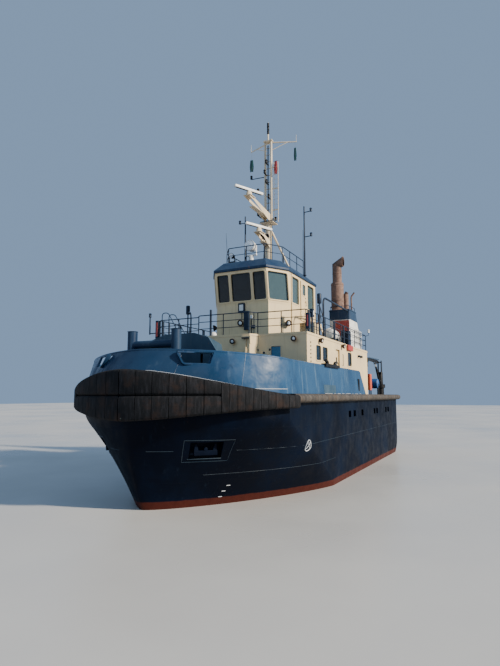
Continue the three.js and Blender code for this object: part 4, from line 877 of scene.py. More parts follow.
STRAKE_LOW, STRAKE_HIGH, STRAKE_DEPTH = 3.70, 4.05, 0.33
strake_line = faired(3.8)
straight = np.linspace(strake_line[2] - PLATE_GAP, strake_line[1] + CORNER + 0.02, 60)
strake_side = np.column_stack([straight, np.full(60, strake_line[4])])
strake_path = np.vstack([strake_side * (1, -1), stern_curve(strake_line)[1:-1], strake_side[::-1]])
half_turn = np.linspace(-np.pi / 2, np.pi / 2, 9)
D_DEPTH = [PLATE_GAP, *(STRAKE_DEPTH * (0.35 + 0.65 * np.cos(half_turn))), PLATE_GAP]
D_HEIGHT = np.concatenate([[STRAKE_LOW], (STRAKE_LOW + STRAKE_HIGH) / 2
                           + (STRAKE_HIGH - STRAKE_LOW) / 2 * np.sin(half_turn), [STRAKE_HIGH]])
strake_lengths = lengths_along(strake_path, D_DEPTH, lambda x: np.tile(D_HEIGHT, (len(x), 1)), 2.4, 0.012, 9)
piece("rubbing_strake_lengths", strake_lengths, STRAKE, stands_for="rubbing_strake", sharp=50)
print("fender blocks", len(fender_blocks), "strake lengths", len(strake_lengths))

# %% [markdown]
# An anchor sits in each pocket with its arms flat against the back. Bars and plates are drawn
# in the pocket's own frame and carried there, which is simpler than slanting them by hand.

# %% Anchors
back = -POCKET_DEPTH + PLATE_GAP
fluke = [(0.24, -0.02), (0.42, -0.02), (0.39, 0.24), (0.34, 0.27), (0.30, 0.2)]
anchor = [bar((0, back, 0.06), (0, back + 0.31, 0.06), 0.07, 16),
          block((-0.42, back + 0.18, -0.15), (0.42, back + 0.30, 0.02)),
          *(slab([(end * x, z) for x, z in fluke][::end], (0, back + 0.29, 0), 0.09) for end in (-1, 1))]
# The anchors take the hull's near-black navy, partly as painted shade for the dark inside of their pockets.
for name, side in (("port", 1), ("starboard", -1)):
    dressed(f"anchor_{name}", [through(bow_frame(side, POCKET), part) for part in anchor], HULL,
            slot="gear_paint", bevel=0.015)

# %% [markdown]
# The guard rails are bent and welded pipe. Each bar is one tube with rounded corners, and
# posts stand under it on small round feet.

# %% Guard rails
def bent(corners, radius=0.12, steps=4):
    """A path with each inner corner replaced by a curve that starts and ends radius away."""
    corners = np.asarray(corners, float)
    path = [corners[0]]
    for before, corner, after in zip(corners, corners[1:], corners[2:]):
        start = corner + (before - corner) / np.linalg.norm(before - corner) * radius
        end = corner + (after - corner) / np.linalg.norm(after - corner) * radius
        for t in np.linspace(0, 1, steps + 1):
            path.append(start * (1 - t) ** 2 + corner * 2 * t * (1 - t) + end * t ** 2)
    return np.array([*path, corners[-1]])


def railing(corners, base, height, bars, spacing, radius=0.024):
    """Posts along a path of (x, y) corners, with bars at the given heights over the base."""
    corners = np.asarray(corners, float)
    parts = [tube(bent(at_height(corners, base + rise)), radius if rise > height - 0.1 else radius * 0.7, 8)
             for rise in bars]
    closed = bool(np.all(corners[0] == corners[-1]))
    for number, (start, end) in enumerate(zip(corners, corners[1:])):
        count = max(round(np.linalg.norm(end - start) / spacing), 1)
        for k in range(1 if number or closed else 0, count + 1):
            x, y = start + (end - start) * k / count
            parts.append(bar((x, y, base + PLATE_GAP), (x, y, base + height - radius), radius, 8))
            parts.append(turned([(0.06, PLATE_GAP), (0.06, 0.012), (0.03, 0.018)], (x, y, base), sides=10))
    return parts


house_side = [(-6.23, 0.0), (-6.23, 3.95), (4.85, 3.95), (4.85, 1.6), (5.25, 1.35)]
house_corners = house_side + [(x, -y) for x, y in house_side[::-1]]
piece("deckhouse_railing", railing(house_corners, HOUSE_TOP, 1.02, (0.35, 0.68, 0.998), 1.35), RAIL_BLUE,
      stands_for="deckhouse_rail")
roof_side = [(-1.2, 1.65), (1.95, 1.65), (2.85, 1.05)]
roof_corners = roof_side + [(x, -y) for x, y in roof_side[::-1]]
piece("roof_railing", railing(roof_corners, ROOF_TOP, 0.88, (0.45, 0.858), 1.1), RAIL_BLUE,
      stands_for="roof_rail")

# %% [markdown]
# The houses keep their plain walls and get a weathered cream. Round every window sits a frame
# with rounded corners, and behind it a tinted pane.

# %% House walls and windows
repaint(CREAM, "deckhouse_top", "deckhouse_door_aft", *(
    f"{house}_{wall}" for house in ("deckhouse", "wheelhouse")
    for wall in ("front", "port", "starboard", "aft", "door_port", "door_starboard")))
coat_deck(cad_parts["deckhouse_top"].data, HOUSE_TOP)
repaint(ROOF_BLUE, "wheelhouse_roof")
repaint(GLASS, "wheelhouse_glass")
repaint(FLOORING, "wheelhouse_floor")
repaint(GEAR_GREY, "wheelhouse_console")


def facing(centre, outward):
    """A matrix at a wall: X runs along it to the right as seen from outside, Y points out."""
    out = Vector(outward).normalized()
    right = Vector(UP).cross(out).normalized()
    return Matrix.Translation(centre) @ Matrix((right, out, out.cross(right))).transposed().to_4x4()


FRAME_SECTION = [(-0.012, -0.02), (0.055, -0.02), (0.055, 0.008), (0.04, 0.02), (0.0, 0.02), (-0.012, 0.012)]


def window(centre, outward, half_width, half_height, corner=0.1, border=1.0, lean=0.0):
    """A frame with rounded corners and a pane behind it, at the wall's outer face. lean is the
    slope of the uprights, forward for each metre up."""
    matrix = facing(centre, outward)
    upright = Vector((lean, 0, 1))
    along, up = upright.dot(matrix.col[0].xyz), upright.dot(matrix.col[2].xyz)
    outline = rounded(half_width, half_height * up, corner)
    outline[:, 0] += outline[:, 1] * along / up
    section = [(offset * border, height) for offset, height in FRAME_SECTION]
    pane = slab(outline * 1.04, (0, -0.045, 0), -0.012)
    return moulding(outline, section, matrix), through(matrix, pane)


house_windows = []
for side in (1, -1):
    for x, z, half_width, half_height in (
            (3.35, 5.945, 0.37, 0.355), (2.36, 5.945, 0.40, 0.355), (-2.08, 5.98, 0.42, 0.39)):
        house_windows.append(window((x, side * 4.0, z), (0, side, 0), half_width, half_height))
house_windows += [window((5.3, y, 5.55), ALONG, 0.23, 0.30) for y in (-0.9, 0.0, 0.9)]
house_windows += [window((-6.3, y, 4.7), (-1, 0, 0), 0.23, 0.30) for y in (-2.6, -0.4, 2.8)]
blinds = [window((4.9, y, 5.865), ALONG, 0.24, 0.32, 0.03, 0.7) for y in (-2.52, 2.52)]
piece("deckhouse_window_frames", [w[0] for w in house_windows + blinds], CREAM)
piece("deckhouse_blinds", [w[1] for w in blinds], BLIND)
piece("deckhouse_window_panes", [w[1] for w in house_windows], GLASS)

# The front leans out above the knuckle, by LEAN for each metre up.
KNUCKLE, SILL, HEAD = 8.52, 8.72, 10.12
LEAN = 0.28 / (EAVES - KNUCKLE)
BRIDGE_FRONT, FRONT_HALF, BRIDGE_CORNER, BRIDGE_HALF, BRIDGE_AFT = 3.3, 1.45, 2.15, 2.15, -1.75

middle_z, half_pane = (SILL + HEAD) / 2, (HEAD - SILL) / 2
pane_x = BRIDGE_FRONT + LEAN * (middle_z - KNUCKLE)
slant = Vector((BRIDGE_FRONT - BRIDGE_CORNER, FRONT_HALF - BRIDGE_HALF))
panes = [((pane_x, y, middle_z), (1, 0, -LEAN), half, 1.2, LEAN)
         for y, half in ((-1.02, 0.345), (0.0, 0.56), (1.02, 0.345))]
for side in (1, -1):
    panes.append(((pane_x - slant.x / 2, side * (FRONT_HALF + BRIDGE_HALF) / 2, middle_z),
                  (-slant.y, side * slant.x, LEAN * slant.y), slant.length / 2 - 0.055, 1.0, LEAN))
    panes += [((x, side * BRIDGE_HALF, middle_z), (0, side, 0), half, 1.2, 0.0)
              for x, half in ((1.485, 0.585), (-0.96, 0.54))]
panes += [((BRIDGE_AFT, y, middle_z), (-1, 0, 0), 0.5, 1.2, 0.0) for y in (-1.35, 0.0, 1.35)]
bridge_frames = [window(centre, outward, half, half_pane, 0.1, border, lean)[0]
                 for centre, outward, half, border, lean in panes]
piece("wheelhouse_window_frames", bridge_frames, CREAM)

# %% [markdown]
# The mast is a thick tube up to a small platform, and above it two parallel tubes joined by
# rungs, with dark cable runs between them that are partly painted shade for the gap between
# the tubes. Brackets carry the two radar scanners in front, and braces run down to the roof behind.

# %% Mast
PLATFORM, YARD, TOP = 13.84, 18.90, 20.06
# of each scanner: x, height, height of its bracket at the mast, span
UPPER, LOWER = (2.54, 14.90, 14.30, 1.92), (1.30, 13.26, 12.70, 1.87)


def radar_bracket(x, z, arm, _):
    """Two deep side plates from the mast to a head plate, with the scanner's gear box on it."""
    seat = z - 0.33
    plate = [(0.1, arm - 0.42), (x - 0.32, seat - 0.16), (x + 0.22, seat - 0.10), (x + 0.24, seat),
             (x - 0.34, seat), (0.1, arm + 0.06)]
    shelf = [(0.1, -0.15), (x - 0.3, -0.15), (x - 0.3, 0.15), (0.1, 0.15)]
    gear_box = [(0.17, 0), (0.18, 0.03), (0.16, 0.06), (0.15, 0.18), (0.11, 0.25)]
    return [*both_sides(slab(plate, (0, 0.16, 0), 0.016)),
            block((x - 0.34, -0.22, seat - 0.03), (x + 0.25, 0.22, seat)),
            slab(shelf, (0, 0, arm - 0.2), 0.014, ALONG, ACROSS), turned(gear_box, (x, 0, seat), sides=24)]


mast_foot = [(0.30, PLATE_GAP), (0.30, 0.02), (0.21, 0.03), (0.19, PLATFORM - ROOF_TOP - 0.02)]
mast = [
    turned(mast_foot, (0, 0, ROOF_TOP), sides=28),
    block((-0.35, -0.42, PLATFORM - 0.03), (0.35, 0.42, PLATFORM)),
    *both_sides(post(0, 0.19, PLATFORM - 0.01, YARD + 0.06, 0.075, 18, 0.06)),
    block((-0.11, -0.28, YARD - 0.06), (0.11, 0.28, YARD)),
    post(0, 0, YARD - 0.01, TOP, 0.045, 12, 0.028),
    *both_sides(bar((0, 0.12, 13.5), (-1.25, 1.0, ROOF_TOP + 0.05), 0.055)),
    *both_sides(block((-1.34, 0.91, ROOF_TOP + PLATE_GAP), (-1.16, 1.09, ROOF_TOP + 0.04))),
    *radar_bracket(*UPPER), *radar_bracket(*LOWER),
    *(bar((0, -0.19, z), (0, 0.19, z), 0.022, 8) for z in np.arange(PLATFORM + 0.4, YARD - 0.1, 0.42)),
    *(post(0, y, PLATFORM, 17.5, 0.016, 8) for y in (0.36, 0.62)),
    *(bar((0, 0.36, z), (0, 0.62, z), 0.011, 6) for z in np.arange(PLATFORM + 0.2, 17.4, 0.3)),
    *(block((-0.02, 0.2, z - 0.03), (0.02, 0.62, z + 0.03)) for z in (14.6, 15.9, 17.2)),
]
piece("mast_structure", mast, MAST_CREAM, stands_for="mast", bevel=0.004, segments=1)

platform_edge = [(-0.33, -0.4), (0.33, -0.4), (0.33, 0.4), (-0.33, 0.4), (-0.33, -0.4)]
# partly painted shade: the dark runs between the twin tubes also stand for the shade between them
cable_runs_and_shade = [tube(bent(at_height(platform_edge, PLATFORM + 0.04)), 0.028, 8),
          *(post(0.02, y, ROOF_TOP + 0.02, YARD - 0.3, 0.02, 8) for y in (-0.03, 0.03)),
          *(post(0.1, y, ROOF_TOP + 0.02, 13.7, 0.03, 8) for y in (-0.24, 0.25))]
piece("mast_cable_runs_and_shade", cable_runs_and_shade, RAIL_BLUE)

# %% [markdown]
# Lamps, a horn and a swept yard hang on the mast. All the lamps are one small turned profile,
# because a form that is repeated so often should have few faces.

# %% Mast lamps, horn and yard
SWEEP = math.tan(math.radians(22))


def lamp(x, y, z, sides=16):
    """A small lamp standing on a point."""
    profile = [(0, 0), (0.07, 0), (0.075, 0.03), (0.065, 0.05), (0.065, 0.15), (0.08, 0.17), (0.05, 0.21),
               (0, 0.22)]
    return turned(profile, (x, y, z), sides=sides)


def on_yard(y, drop):
    """A point under the yard, which sweeps aft from the mast, some way below its centre."""
    return (-0.165 - abs(y) * SWEEP, y, YARD - drop)


lamps = []
for x, y, z in ((0.3, 0.0, PLATFORM + 0.5), (0.3, 0.0, 16.2), (0.3, 0.0, 17.4), (0.0, 0.0, TOP - 0.25),
                (0.35, -0.5, 15.7), (0.0, -1.1, 16.75), (0.45, -0.45, 14.25), (-0.35, 0.3, 14.1),
                (0.0, 0.0, 19.35), (0.0, 0.0, 19.6), (0.25, 0.12, 15.3), (0.3, -0.1, 16.8)):
    lamps += [lamp(x, y, z), block((min(x, 0.0), y - 0.04, z - 0.03), (max(x, 0.06), y + 0.04, z))]
lamps.append(bar((0.0, -0.15, 16.7), (0.0, -1.1, 16.73), 0.025, 8))
piece("mast_lamps", lamps, BLACK, bevel=0.004, segments=1)
trumpet = [(0, 0), (0.05, 0), (0.05, 0.22), (0.08, 0.34), (0.20, 0.44), (0.21, 0.46), (0.17, 0.44), (0, 0.30)]
horn = [turned(trumpet, (0.2, -0.28, 12.95), (1, 0.35, 0.02), 24),
        block((0.05, -0.34, 12.9), (0.3, -0.2, 12.96))]
piece("mast_horn", horn, BLACK, bevel=0.004, segments=1)
yard = [*both_sides(bar(on_yard(0.0, 0.03), on_yard(1.5, 0.03), 0.042, 12, 0.026)),
        block((-0.23, -0.09, YARD - 0.09), (-0.11 - PLATE_GAP, 0.09, YARD + 0.01)),
        *both_sides(bar((-0.14, 0.15, YARD - 0.55), (-0.55, 1.0, YARD - 0.05), 0.018, 8),
                    post(-0.75, 1.48, YARD - 0.03, YARD + 0.42, 0.010, 6))]
piece("mast_yard_arms", yard, MAST_CREAM, stands_for="mast_yard", bevel=0.004, segments=1)

# %% [markdown]
# A radar scanner is a long moulded box, white, with rounded ends and a dark slot along its
# front face. It turns on the gear box under it.

# %% Radar scanners
REST = math.atan2(0.426, -0.905)


def scanner(word, x, z, _, span):
    """The turning bar with its slot and its neck, set at the angle it has at rest."""
    turn = Matrix.Translation((x, 0, z)) @ Matrix.Rotation(REST, 4, "Z")
    profile = rounded(0.074, 0.074, 0.035)
    scale = np.array([0.55, 0.85, 1.0, 1.0, 0.85, 0.55])
    points = np.empty((6, len(profile), 3))
    points[..., 0] = np.array([-1.0, -0.985, -0.96, 0.96, 0.985, 1.0])[:, None] * span / 2
    points[..., 1:] = profile[None] * scale[:, None, None] + (0, 0.015)
    neck = turned([(0.09, -0.08), (0.09, -0.05), (0.07, -0.045), (0.07, -0.03)], sides=20)
    slot = block((-span / 2 + 0.06, 0.0745, -0.03), (span / 2 - 0.06, 0.078, 0.05))
    under = block((-span / 2 + 0.1, -0.05, -0.064), (span / 2 - 0.1, 0.05, -0.059))
    piece(f"scanner_{word}_bar", [through(turn, part) for part in (grid(points), neck)], WHITE,
          f"radar_{word}", stands_for=f"radar_scanner_{word}", sharp=30)
    piece(f"scanner_{word}_face", [through(turn, part) for part in (slot, under)], BLACK,
          f"radar_{word}", bevel=0.002, segments=1)


scanner("upper", *UPPER)
scanner("lower", *LOWER)


# %% [markdown]
# Two searchlights stand on the roof in forks, and two thin signal poles beside them. A lamp's
# tilt lies in the axis it is turned about, so that its object stays unturned.

# %% Searchlights and signal poles
def searchlight(name, x, y, radius, length, pillar, stem, finish):
    """A drum in a fork on a pillar: a domed back, a rim in front and a clear lens."""
    fork = ROOF_TOP + pillar
    centre = fork + radius + 0.15
    front, tilt = (x + length * 0.4, y, centre + 0.03), (1, 0, 0.03 / length)
    drum = [(0.0, -length), (radius * 0.45, -length * 0.97), (radius * 0.78, -length * 0.82),
            (radius * 0.86, -length * 0.6), (radius * 0.95, -0.06), (radius, -0.05), (radius, 0.0),
            (radius * 0.93, 0.0), (radius * 0.9, -0.04), (0.0, -0.05)]
    arm = [(-0.05, -0.02), (0.05, -0.02), (0.045, radius + 0.2), (-0.045, radius + 0.2)]
    foot = [(stem + 0.04, PLATE_GAP), (stem + 0.04, 0.015), (stem, 0.02), (stem, pillar - 0.05),
            (0, pillar - 0.04)]
    lens = [(0, -0.03), (radius * 0.9, -0.03), (radius * 0.9, -0.01), (radius * 0.5, 0.008), (0, 0.012)]
    parts = [
        turned(drum, front, tilt),
        *(slab(arm, (x, y + side * (radius + 0.015) + 0.006, fork), 0.012) for side in (1, -1)),
        *(disc(0.045, 0.0, 0.03, (x, y + side * radius * 0.92, centre), (0, side, 0), 14)
          for side in (1, -1)),
        block((x - 0.06, y - radius - 0.03, fork - 0.05), (x + 0.06, y + radius + 0.03, fork)),
        turned(foot, (x, y, ROOF_TOP), sides=24)]
    piece(f"{name}_drum", parts, finish, stands_for=name, bevel=0.003, segments=1)
    piece(f"{name}_lens", [turned(lens, front, tilt, 28)], LENS)


searchlight("searchlight_large", 2.25, -0.02, 0.30, 0.56, 0.54, 0.13, WHITE)
searchlight("searchlight_small", 2.30, -1.15, 0.14, 0.30, 0.30, 0.06, BLACK)
for name, x, y, top, arms in (("signal_pole_port", -0.5, 2.0, 14.7, (12.9, 14.35)),
                              ("signal_pole_starboard", 0.5, -1.25, 14.3, (13.9,))):
    foot = float(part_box(name)[0].z)
    parts = [post(x, y, foot, top, 0.055, 14, 0.036),
             turned([(0.1, 0.0), (0.1, 0.02), (0.06, 0.03)], (x, y, foot + 0.14), sides=16)]
    for z in arms:
        tip = (x - 0.06, y + math.copysign(0.38, y), z + 0.04)
        parts += [bar((x, y, z), tip, 0.026, 8), lamp(tip[0], tip[1], z + 0.02, 14)]
    dressed(name, parts, RAIL_BLUE)

# %% [markdown]
# Two funnels stand abreast behind the wheelhouse. Each is a plated box with round edges, a
# dark cap, a plain red panel and louvres, and carries a rusty exhaust with a mitred elbow at its
# top, whose mouth faces outboard, and two smaller pipes beside it.

# %% Funnels and exhausts
FUNNEL_INNER, FUNNEL_OUTER, FUNNEL_FRONT, FUNNEL_CAP, FUNNEL_TOP = 2.60, 3.85, -2.95, 8.40, 9.0
FUNNEL_Y = (FUNNEL_INNER + FUNNEL_OUTER) / 2
PIPE_X, PIPE_Y, PIPE_RADIUS, PIPE_MITRE, PIPE_MOUTH, PIPE_REACH = -3.45, 2.99, 0.275, 11.815, 12.04, 0.405
SLEEVE_RADIUS, SLEEVE_TOP = 0.365, 10.72


def aft_at(z):
    """Where the sloping aft side of a funnel is at a height."""
    return float(np.interp(z, (HOUSE_TOP, FUNNEL_TOP), (-5.65, -4.33)))


def casing(low, high, out):
    """A stretch of a funnel's box between two heights, grown by a distance."""
    rings = []
    for z in (low, high):
        half_length = (FUNNEL_FRONT - aft_at(z)) / 2 + out
        half_width = (FUNNEL_OUTER - FUNNEL_INNER) / 2 + out
        ring = rounded(half_length, half_width, 0.10) + ((FUNNEL_FRONT + aft_at(z)) / 2, FUNNEL_Y)
        rings.append(at_height(ring, z))
    return grid(np.stack(rings))


def elbow(radius, start, sides=36):
    """The mitred elbow: a round pipe to a slanting cut, then outboard to a slanting mouth."""
    a, b = radius * np.cos(circle(sides)), radius * np.sin(circle(sides))
    x, y = PIPE_X + a, PIPE_Y + b
    return np.stack([np.column_stack([x, y, np.full(sides, start)]),
                     np.column_stack([x, y, PIPE_MITRE - b * 0.42]),
                     np.column_stack([x, np.full(sides, PIPE_Y + PIPE_REACH), PIPE_MOUTH - b * 1.15])])


slat = [(0, 0), (0.035, -0.035), (0.035, -0.045), (0, -0.012)]
louvres = [slab(slat, (x, FUNNEL_OUTER, z), -0.8, ACROSS) for x in (-4.80, -3.88)
           for z in np.arange(7.1, 7.95, 0.07)]
louvres += [moulding(rounded(0.42, 0.46, 0.03), FRAME_SECTION, facing((x + 0.4, FUNNEL_OUTER, 7.5), ACROSS))
            for x in (-4.80, -3.88)]
guard_path = [(-4.28, 2.65), (-3.0, 2.65), (-3.0, 3.8), (-4.28, 3.8)]
ladder = [
    *(bar((aft_at(6.95) - 0.1, y, 6.95), (aft_at(9.1) - 0.1, y, 9.1), 0.02, 8) for y in (2.95, 3.3)),
    *(bar((aft_at(z) - 0.1, 2.95, z), (aft_at(z) - 0.1, 3.3, z), 0.013, 6)
      for z in np.arange(7.1, 9.05, 0.28)),
    *(bar((aft_at(z) - 0.1, y, z), (aft_at(z) + 0.02, y, z), 0.013, 6) for z in (7.2, 8.8)
      for y in (2.95, 3.3)),
    tube(bent(at_height(guard_path, FUNNEL_TOP + 0.22)), 0.018, 8),
    *(post(x, y, FUNNEL_TOP, FUNNEL_TOP + 0.22, 0.016, 6) for x in (-3.1, -4.26) for y in (2.65, 3.8)),
]
pipe_foot = FUNNEL_TOP + PLATE_GAP
sleeve = [(0.0, pipe_foot + 0.01), (SLEEVE_RADIUS + 0.07, pipe_foot + 0.01),
          (SLEEVE_RADIUS + 0.07, pipe_foot + 0.05), (SLEEVE_RADIUS + 0.01, pipe_foot + 0.07),
          (SLEEVE_RADIUS + 0.01, SLEEVE_TOP - 0.05), (SLEEVE_RADIUS - 0.01, SLEEVE_TOP),
          (0.28, SLEEVE_TOP), (0.27, SLEEVE_TOP - 0.02)]
outer_pipe, inner_pipe = elbow(PIPE_RADIUS, SLEEVE_TOP - 0.05), elbow(PIPE_RADIUS - 0.03, SLEEVE_TOP + 0.5)
pipe_seam = [(0.285, -0.02), (0.29, 0.0), (0.285, 0.02), (0.27, 0.02), (0.27, -0.02)]
sleeve_seam = [(0.37, -0.03), (0.388, -0.02), (0.388, 0.02), (0.37, 0.03)]
pipes = [
    turned(sleeve, (PIPE_X, PIPE_Y, 0), sides=36), grid(np.vstack([outer_pipe, inner_pipe[::-1]])),
    turned(pipe_seam, (PIPE_X, PIPE_Y, 11.3), sides=36),
    *(turned(sleeve_seam, (PIPE_X, PIPE_Y, z), sides=36) for z in (9.6, 10.6)),
    tube([*((-3.95, 3.36, z) for z in (pipe_foot, 10.07, 10.08, 10.09)), (-3.95, 3.45, 10.23)],
         [0.165, 0.165, 0.16, 0.11, 0.105], 24),
    tube(bent([(-4.12, 3.65, pipe_foot), (-4.12, 3.65, 9.95), (-4.12, 3.85, 10.2)], 0.08), 0.05, 14),
    block((-4.3, FUNNEL_INNER + 0.01, pipe_foot), (-3.0, FUNNEL_OUTER - 0.03, pipe_foot + 0.03)),
]
for name, side in (("port", 1), ("starboard", -1)):
    for word, parts, finish, stands_for in (
            ("casing", [casing(HOUSE_TOP + PLATE_GAP, FUNNEL_TOP - 0.02, 0.0)], WHITE, f"funnel_{name}"),
            ("cap", [casing(FUNNEL_CAP, FUNNEL_TOP, 0.008), casing(FUNNEL_TOP - 0.06, FUNNEL_TOP, 0.03)],
             ROOF_BLUE, None),
            ("panel", [slab(rounded(0.46, 0.46, 0.05), (FUNNEL_FRONT, FUNNEL_Y + 0.12, 7.90), 0.006, ACROSS)],
             RED, None),
            ("louvres", louvres, WHITE, None), ("ladder", ladder, RAIL_BLUE, None)):
        piece(f"funnel_{name}_{word}", handed(parts, side), finish, stands_for=stands_for)
    piece(f"exhaust_{name}_pipes", handed(pipes, side), RUST, stands_for=f"exhaust_{name}",
          bevel=0.006, segments=1)

# %% [markdown]
# The towing gear on the fore deck: a heavy H bitt right in the bow, and behind it a winch whose
# drum carries turns of rope. The turns are one long tube wound on a helix, layer on layer.

# %% H bitt and fore winch
BITT_X, BITT_Y, BITT_RADIUS = 10.5, 1.0, 0.185
bitt_post = [(BITT_RADIUS + out, z) for out, z in (
    (0.05, PLATE_GAP), (0.05, 0.03), (0, 0.05), (0, 2.33), (0.02, 2.335), (0.02, 2.345), (-0.01, 2.35))]
bitt_foot = slab([(-0.8, 0), (0.1, 0), (0.1, 0.5), (-0.15, 0.9)],
                 (BITT_X, BITT_Y + 0.04, FORE_DECK + PLATE_GAP), 0.08)
dressed("h_bitt", [*both_sides(turned([*bitt_post, (0.0, 2.35)], (BITT_X, BITT_Y, FORE_DECK)), bitt_foot),
                   disc(0.15, -0.99, 0.99, (BITT_X, 0, 5.87), ACROSS, 32)], GEAR_BLUE, bevel=0.008)

WINCH_X, WINCH_Z, WINCH_FOOT = 7.9, 5.25, FORE_DECK + PLATE_GAP
DRUM_RADIUS, ROPE_RADIUS = 0.42, 0.032
cheek = [(-0.9, 0), (0.95, 0), (0.95, 1.55), (0.7, 2.3), (-0.5, 2.05), (-0.9, 0.95)]
half_shield = [(1.13, 0), (1.13, 0.55), (1.8, 0.95), (1.8, 1.55), (1.35, 2.2), (0.7, 2.4)]
shield = [*half_shield, *((-y, z) for y, z in half_shield[::-1])]
hub = [(0, 0), (0.17, 0), (0.17, 0.03), (0.14, 0.05), (0.14, 0.10), (0, 0.10)]
motor = [(0, 0), (0.2, 0), (0.2, 0.04), (0.17, 0.05), (0.17, 0.34), (0.12, 0.40), (0, 0.40)]
bolts = [disc(0.018, 0.0, 0.02, (WINCH_X + 0.145 * math.cos(a), 1.23, WINCH_Z + 0.145 * math.sin(a)),
              ACROSS, 6) for a in circle(8)]
casing_parts = [
    *both_sides(slab(cheek, (WINCH_X, 1.13, WINCH_FOOT), 0.12),
                turned(hub, (WINCH_X, 1.13, WINCH_Z), ACROSS, 28), *bolts),
    turned(motor, (WINCH_X, 1.2, WINCH_Z), ACROSS, 28),
    slab(shield, (WINCH_X + 0.87, 0, WINCH_FOOT), 0.08, ACROSS),
    *(block((WINCH_X + 0.74, y - 0.012, FORE_DECK + 0.2), (WINCH_X + 0.875, y + 0.012, 6.2))
      for y in (-0.55, 0.0, 0.55)),
    block((-0.9 + WINCH_X, -1.13, WINCH_FOOT), (0.95 + WINCH_X, 1.13, FORE_DECK + 0.15))]
piece("fore_winch_casing", casing_parts, GEAR_GREY, stands_for="fore_winch_frame", bevel=0.012)
half_drum = [(0.0, -1.12), (0.09, -1.12), (0.09, -0.98), (0.70, -0.98), (0.72, -0.965), (0.70, -0.945),
             (DRUM_RADIUS, -0.94), (DRUM_RADIUS, -0.02), (0.70, -0.02)]
drum_profile = symmetric(half_drum, (0.72, 0.0))
piece("winch_drum_dressed", [turned(drum_profile, (WINCH_X, 0, WINCH_Z), ACROSS, 48)], GEAR_GREY,
      "winch_drum", stands_for="fore_winch_drum")


def wound(y0, y1, layers, steps=20):
    """Rope on the drum: x = r cos(a), z = r sin(a) and y creeping one rope's width a turn, and
    back again in the next layer, one rope's width further out."""
    turns = int((y1 - y0) / (2 * ROPE_RADIUS)) - 1
    angle = np.linspace(0, 2 * np.pi * turns * layers, turns * layers * steps + 1)
    layer = np.minimum(angle // (2 * np.pi * turns), layers - 1)
    share = angle / (2 * np.pi * turns) - layer
    share = np.where(layer % 2 == 0, share, 1 - share)
    radius = DRUM_RADIUS + ROPE_RADIUS * (1 + 1.8 * layer)
    y = y0 + ROPE_RADIUS + share * (y1 - y0 - 2 * ROPE_RADIUS)
    path = np.column_stack([WINCH_X + radius * np.cos(angle), y, WINCH_Z + radius * np.sin(angle)])
    return tube(path, ROPE_RADIUS, 6)


piece("winch_rope_turns", [wound(-0.93, -0.03, 2), wound(0.03, 0.93, 3)], ROPE, "winch_drum", sharp=80)

# %% [markdown]
# On the after deck stand the tow hook on its post, a bitt with two posts, and a capstan. The
# hook turns on its pin, so it is a piece of its own that rides on the hook's body.

# %% Tow hook, after bitt and capstan
HOOK = (-7.4, 0, 4.0)
CAPSTAN_X, CAPSTAN_Y = -10.4, -2.9
hook_pin = [(0.15, -0.13), (0.16, -0.12), (0.16, -0.0715), (0.05, -0.0705), (0.05, 0.085), (0.0, 0.085)]
hook_post = [slab([(-0.26, 0), (0.76, 0), (0.60, 0.9), (-0.26, 1.08)],
                  (HOOK[0], 0.26, MAIN_DECK + PLATE_GAP), 0.52),
             block((HOOK[0] - 0.34, -0.34, MAIN_DECK + PLATE_GAP), (HOOK[0] + 0.9, 0.34, MAIN_DECK + 0.03)),
             turned(hook_pin, HOOK, sides=28), disc(0.085, 0.062, 0.085, HOOK, UP, 6)]
dressed("tow_hook_post", hook_post, GEAR_BLUE, bevel=0.012)
hook_side = [(-1.13, -0.07), (-1.17, 0.02), (-1.18, 0.18), (-1.06, 0.18), (-1.02, 0.09), (-0.96, 0.03),
             (-0.86, 0.035), (-0.5, 0.06), (0.11, 0.055), (0.11, -0.07)]
hook = dressed("tow_hook", [slab(hook_side, (HOOK[0], -0.09, HOOK[2]), 0.18)], GEAR_GREY, "hook")
carve(hook, [turned([(0.052, -0.3), (0.052, 0.3)], HOOK, sides=28)])
aft_post = [(0.21, PLATE_GAP), (0.21, 0.03), (0.17, 0.05), (0.17, 1.50), (0.195, 1.51), (0.195, 1.55),
            (0.0, 1.55)]
aft_bar = symmetric([(0.0, -1.0), (0.15, -1.0), (0.15, -0.97), (0.13, -0.96)])
dressed("aft_bitt", [*both_sides(turned(aft_post, (-11.9, 0.7, MAIN_DECK))),
                     turned(aft_bar, (-11.9, 0, 3.95), ACROSS)], GEAR_BLUE)
barrel_profile = [(0.38, PLATE_GAP), (0.38, 0.07), (0.36, 0.09), (0.25, 0.16), (0.21, 0.24), (0.20, 0.42),
                  (0.21, 0.60), (0.30, 0.69), (0.33, 0.72), (0.33, 0.76), (0.30, 0.80), (0.0, 0.80)]
whelp = [(0.19, 0.2), (0.24, 0.22), (0.225, 0.42), (0.245, 0.62), (0.19, 0.64)]
whelps = [slab(whelp, (CAPSTAN_X - 0.012 * math.sin(a), CAPSTAN_Y + 0.012 * math.cos(a), MAIN_DECK), 0.024,
               (math.cos(a), math.sin(a), 0)) for a in circle(8)]
dressed("capstan", [turned(barrel_profile, (CAPSTAN_X, CAPSTAN_Y, MAIN_DECK), sides=40), *whelps], GEAR_BLUE)

# %% [markdown]
# The deck crane stands on the port quarter with its boom stowed forward. Every moving part
# keeps its pins where the frame has them: the column slews, the boom luffs, and the ram's
# barrel and rod follow it.

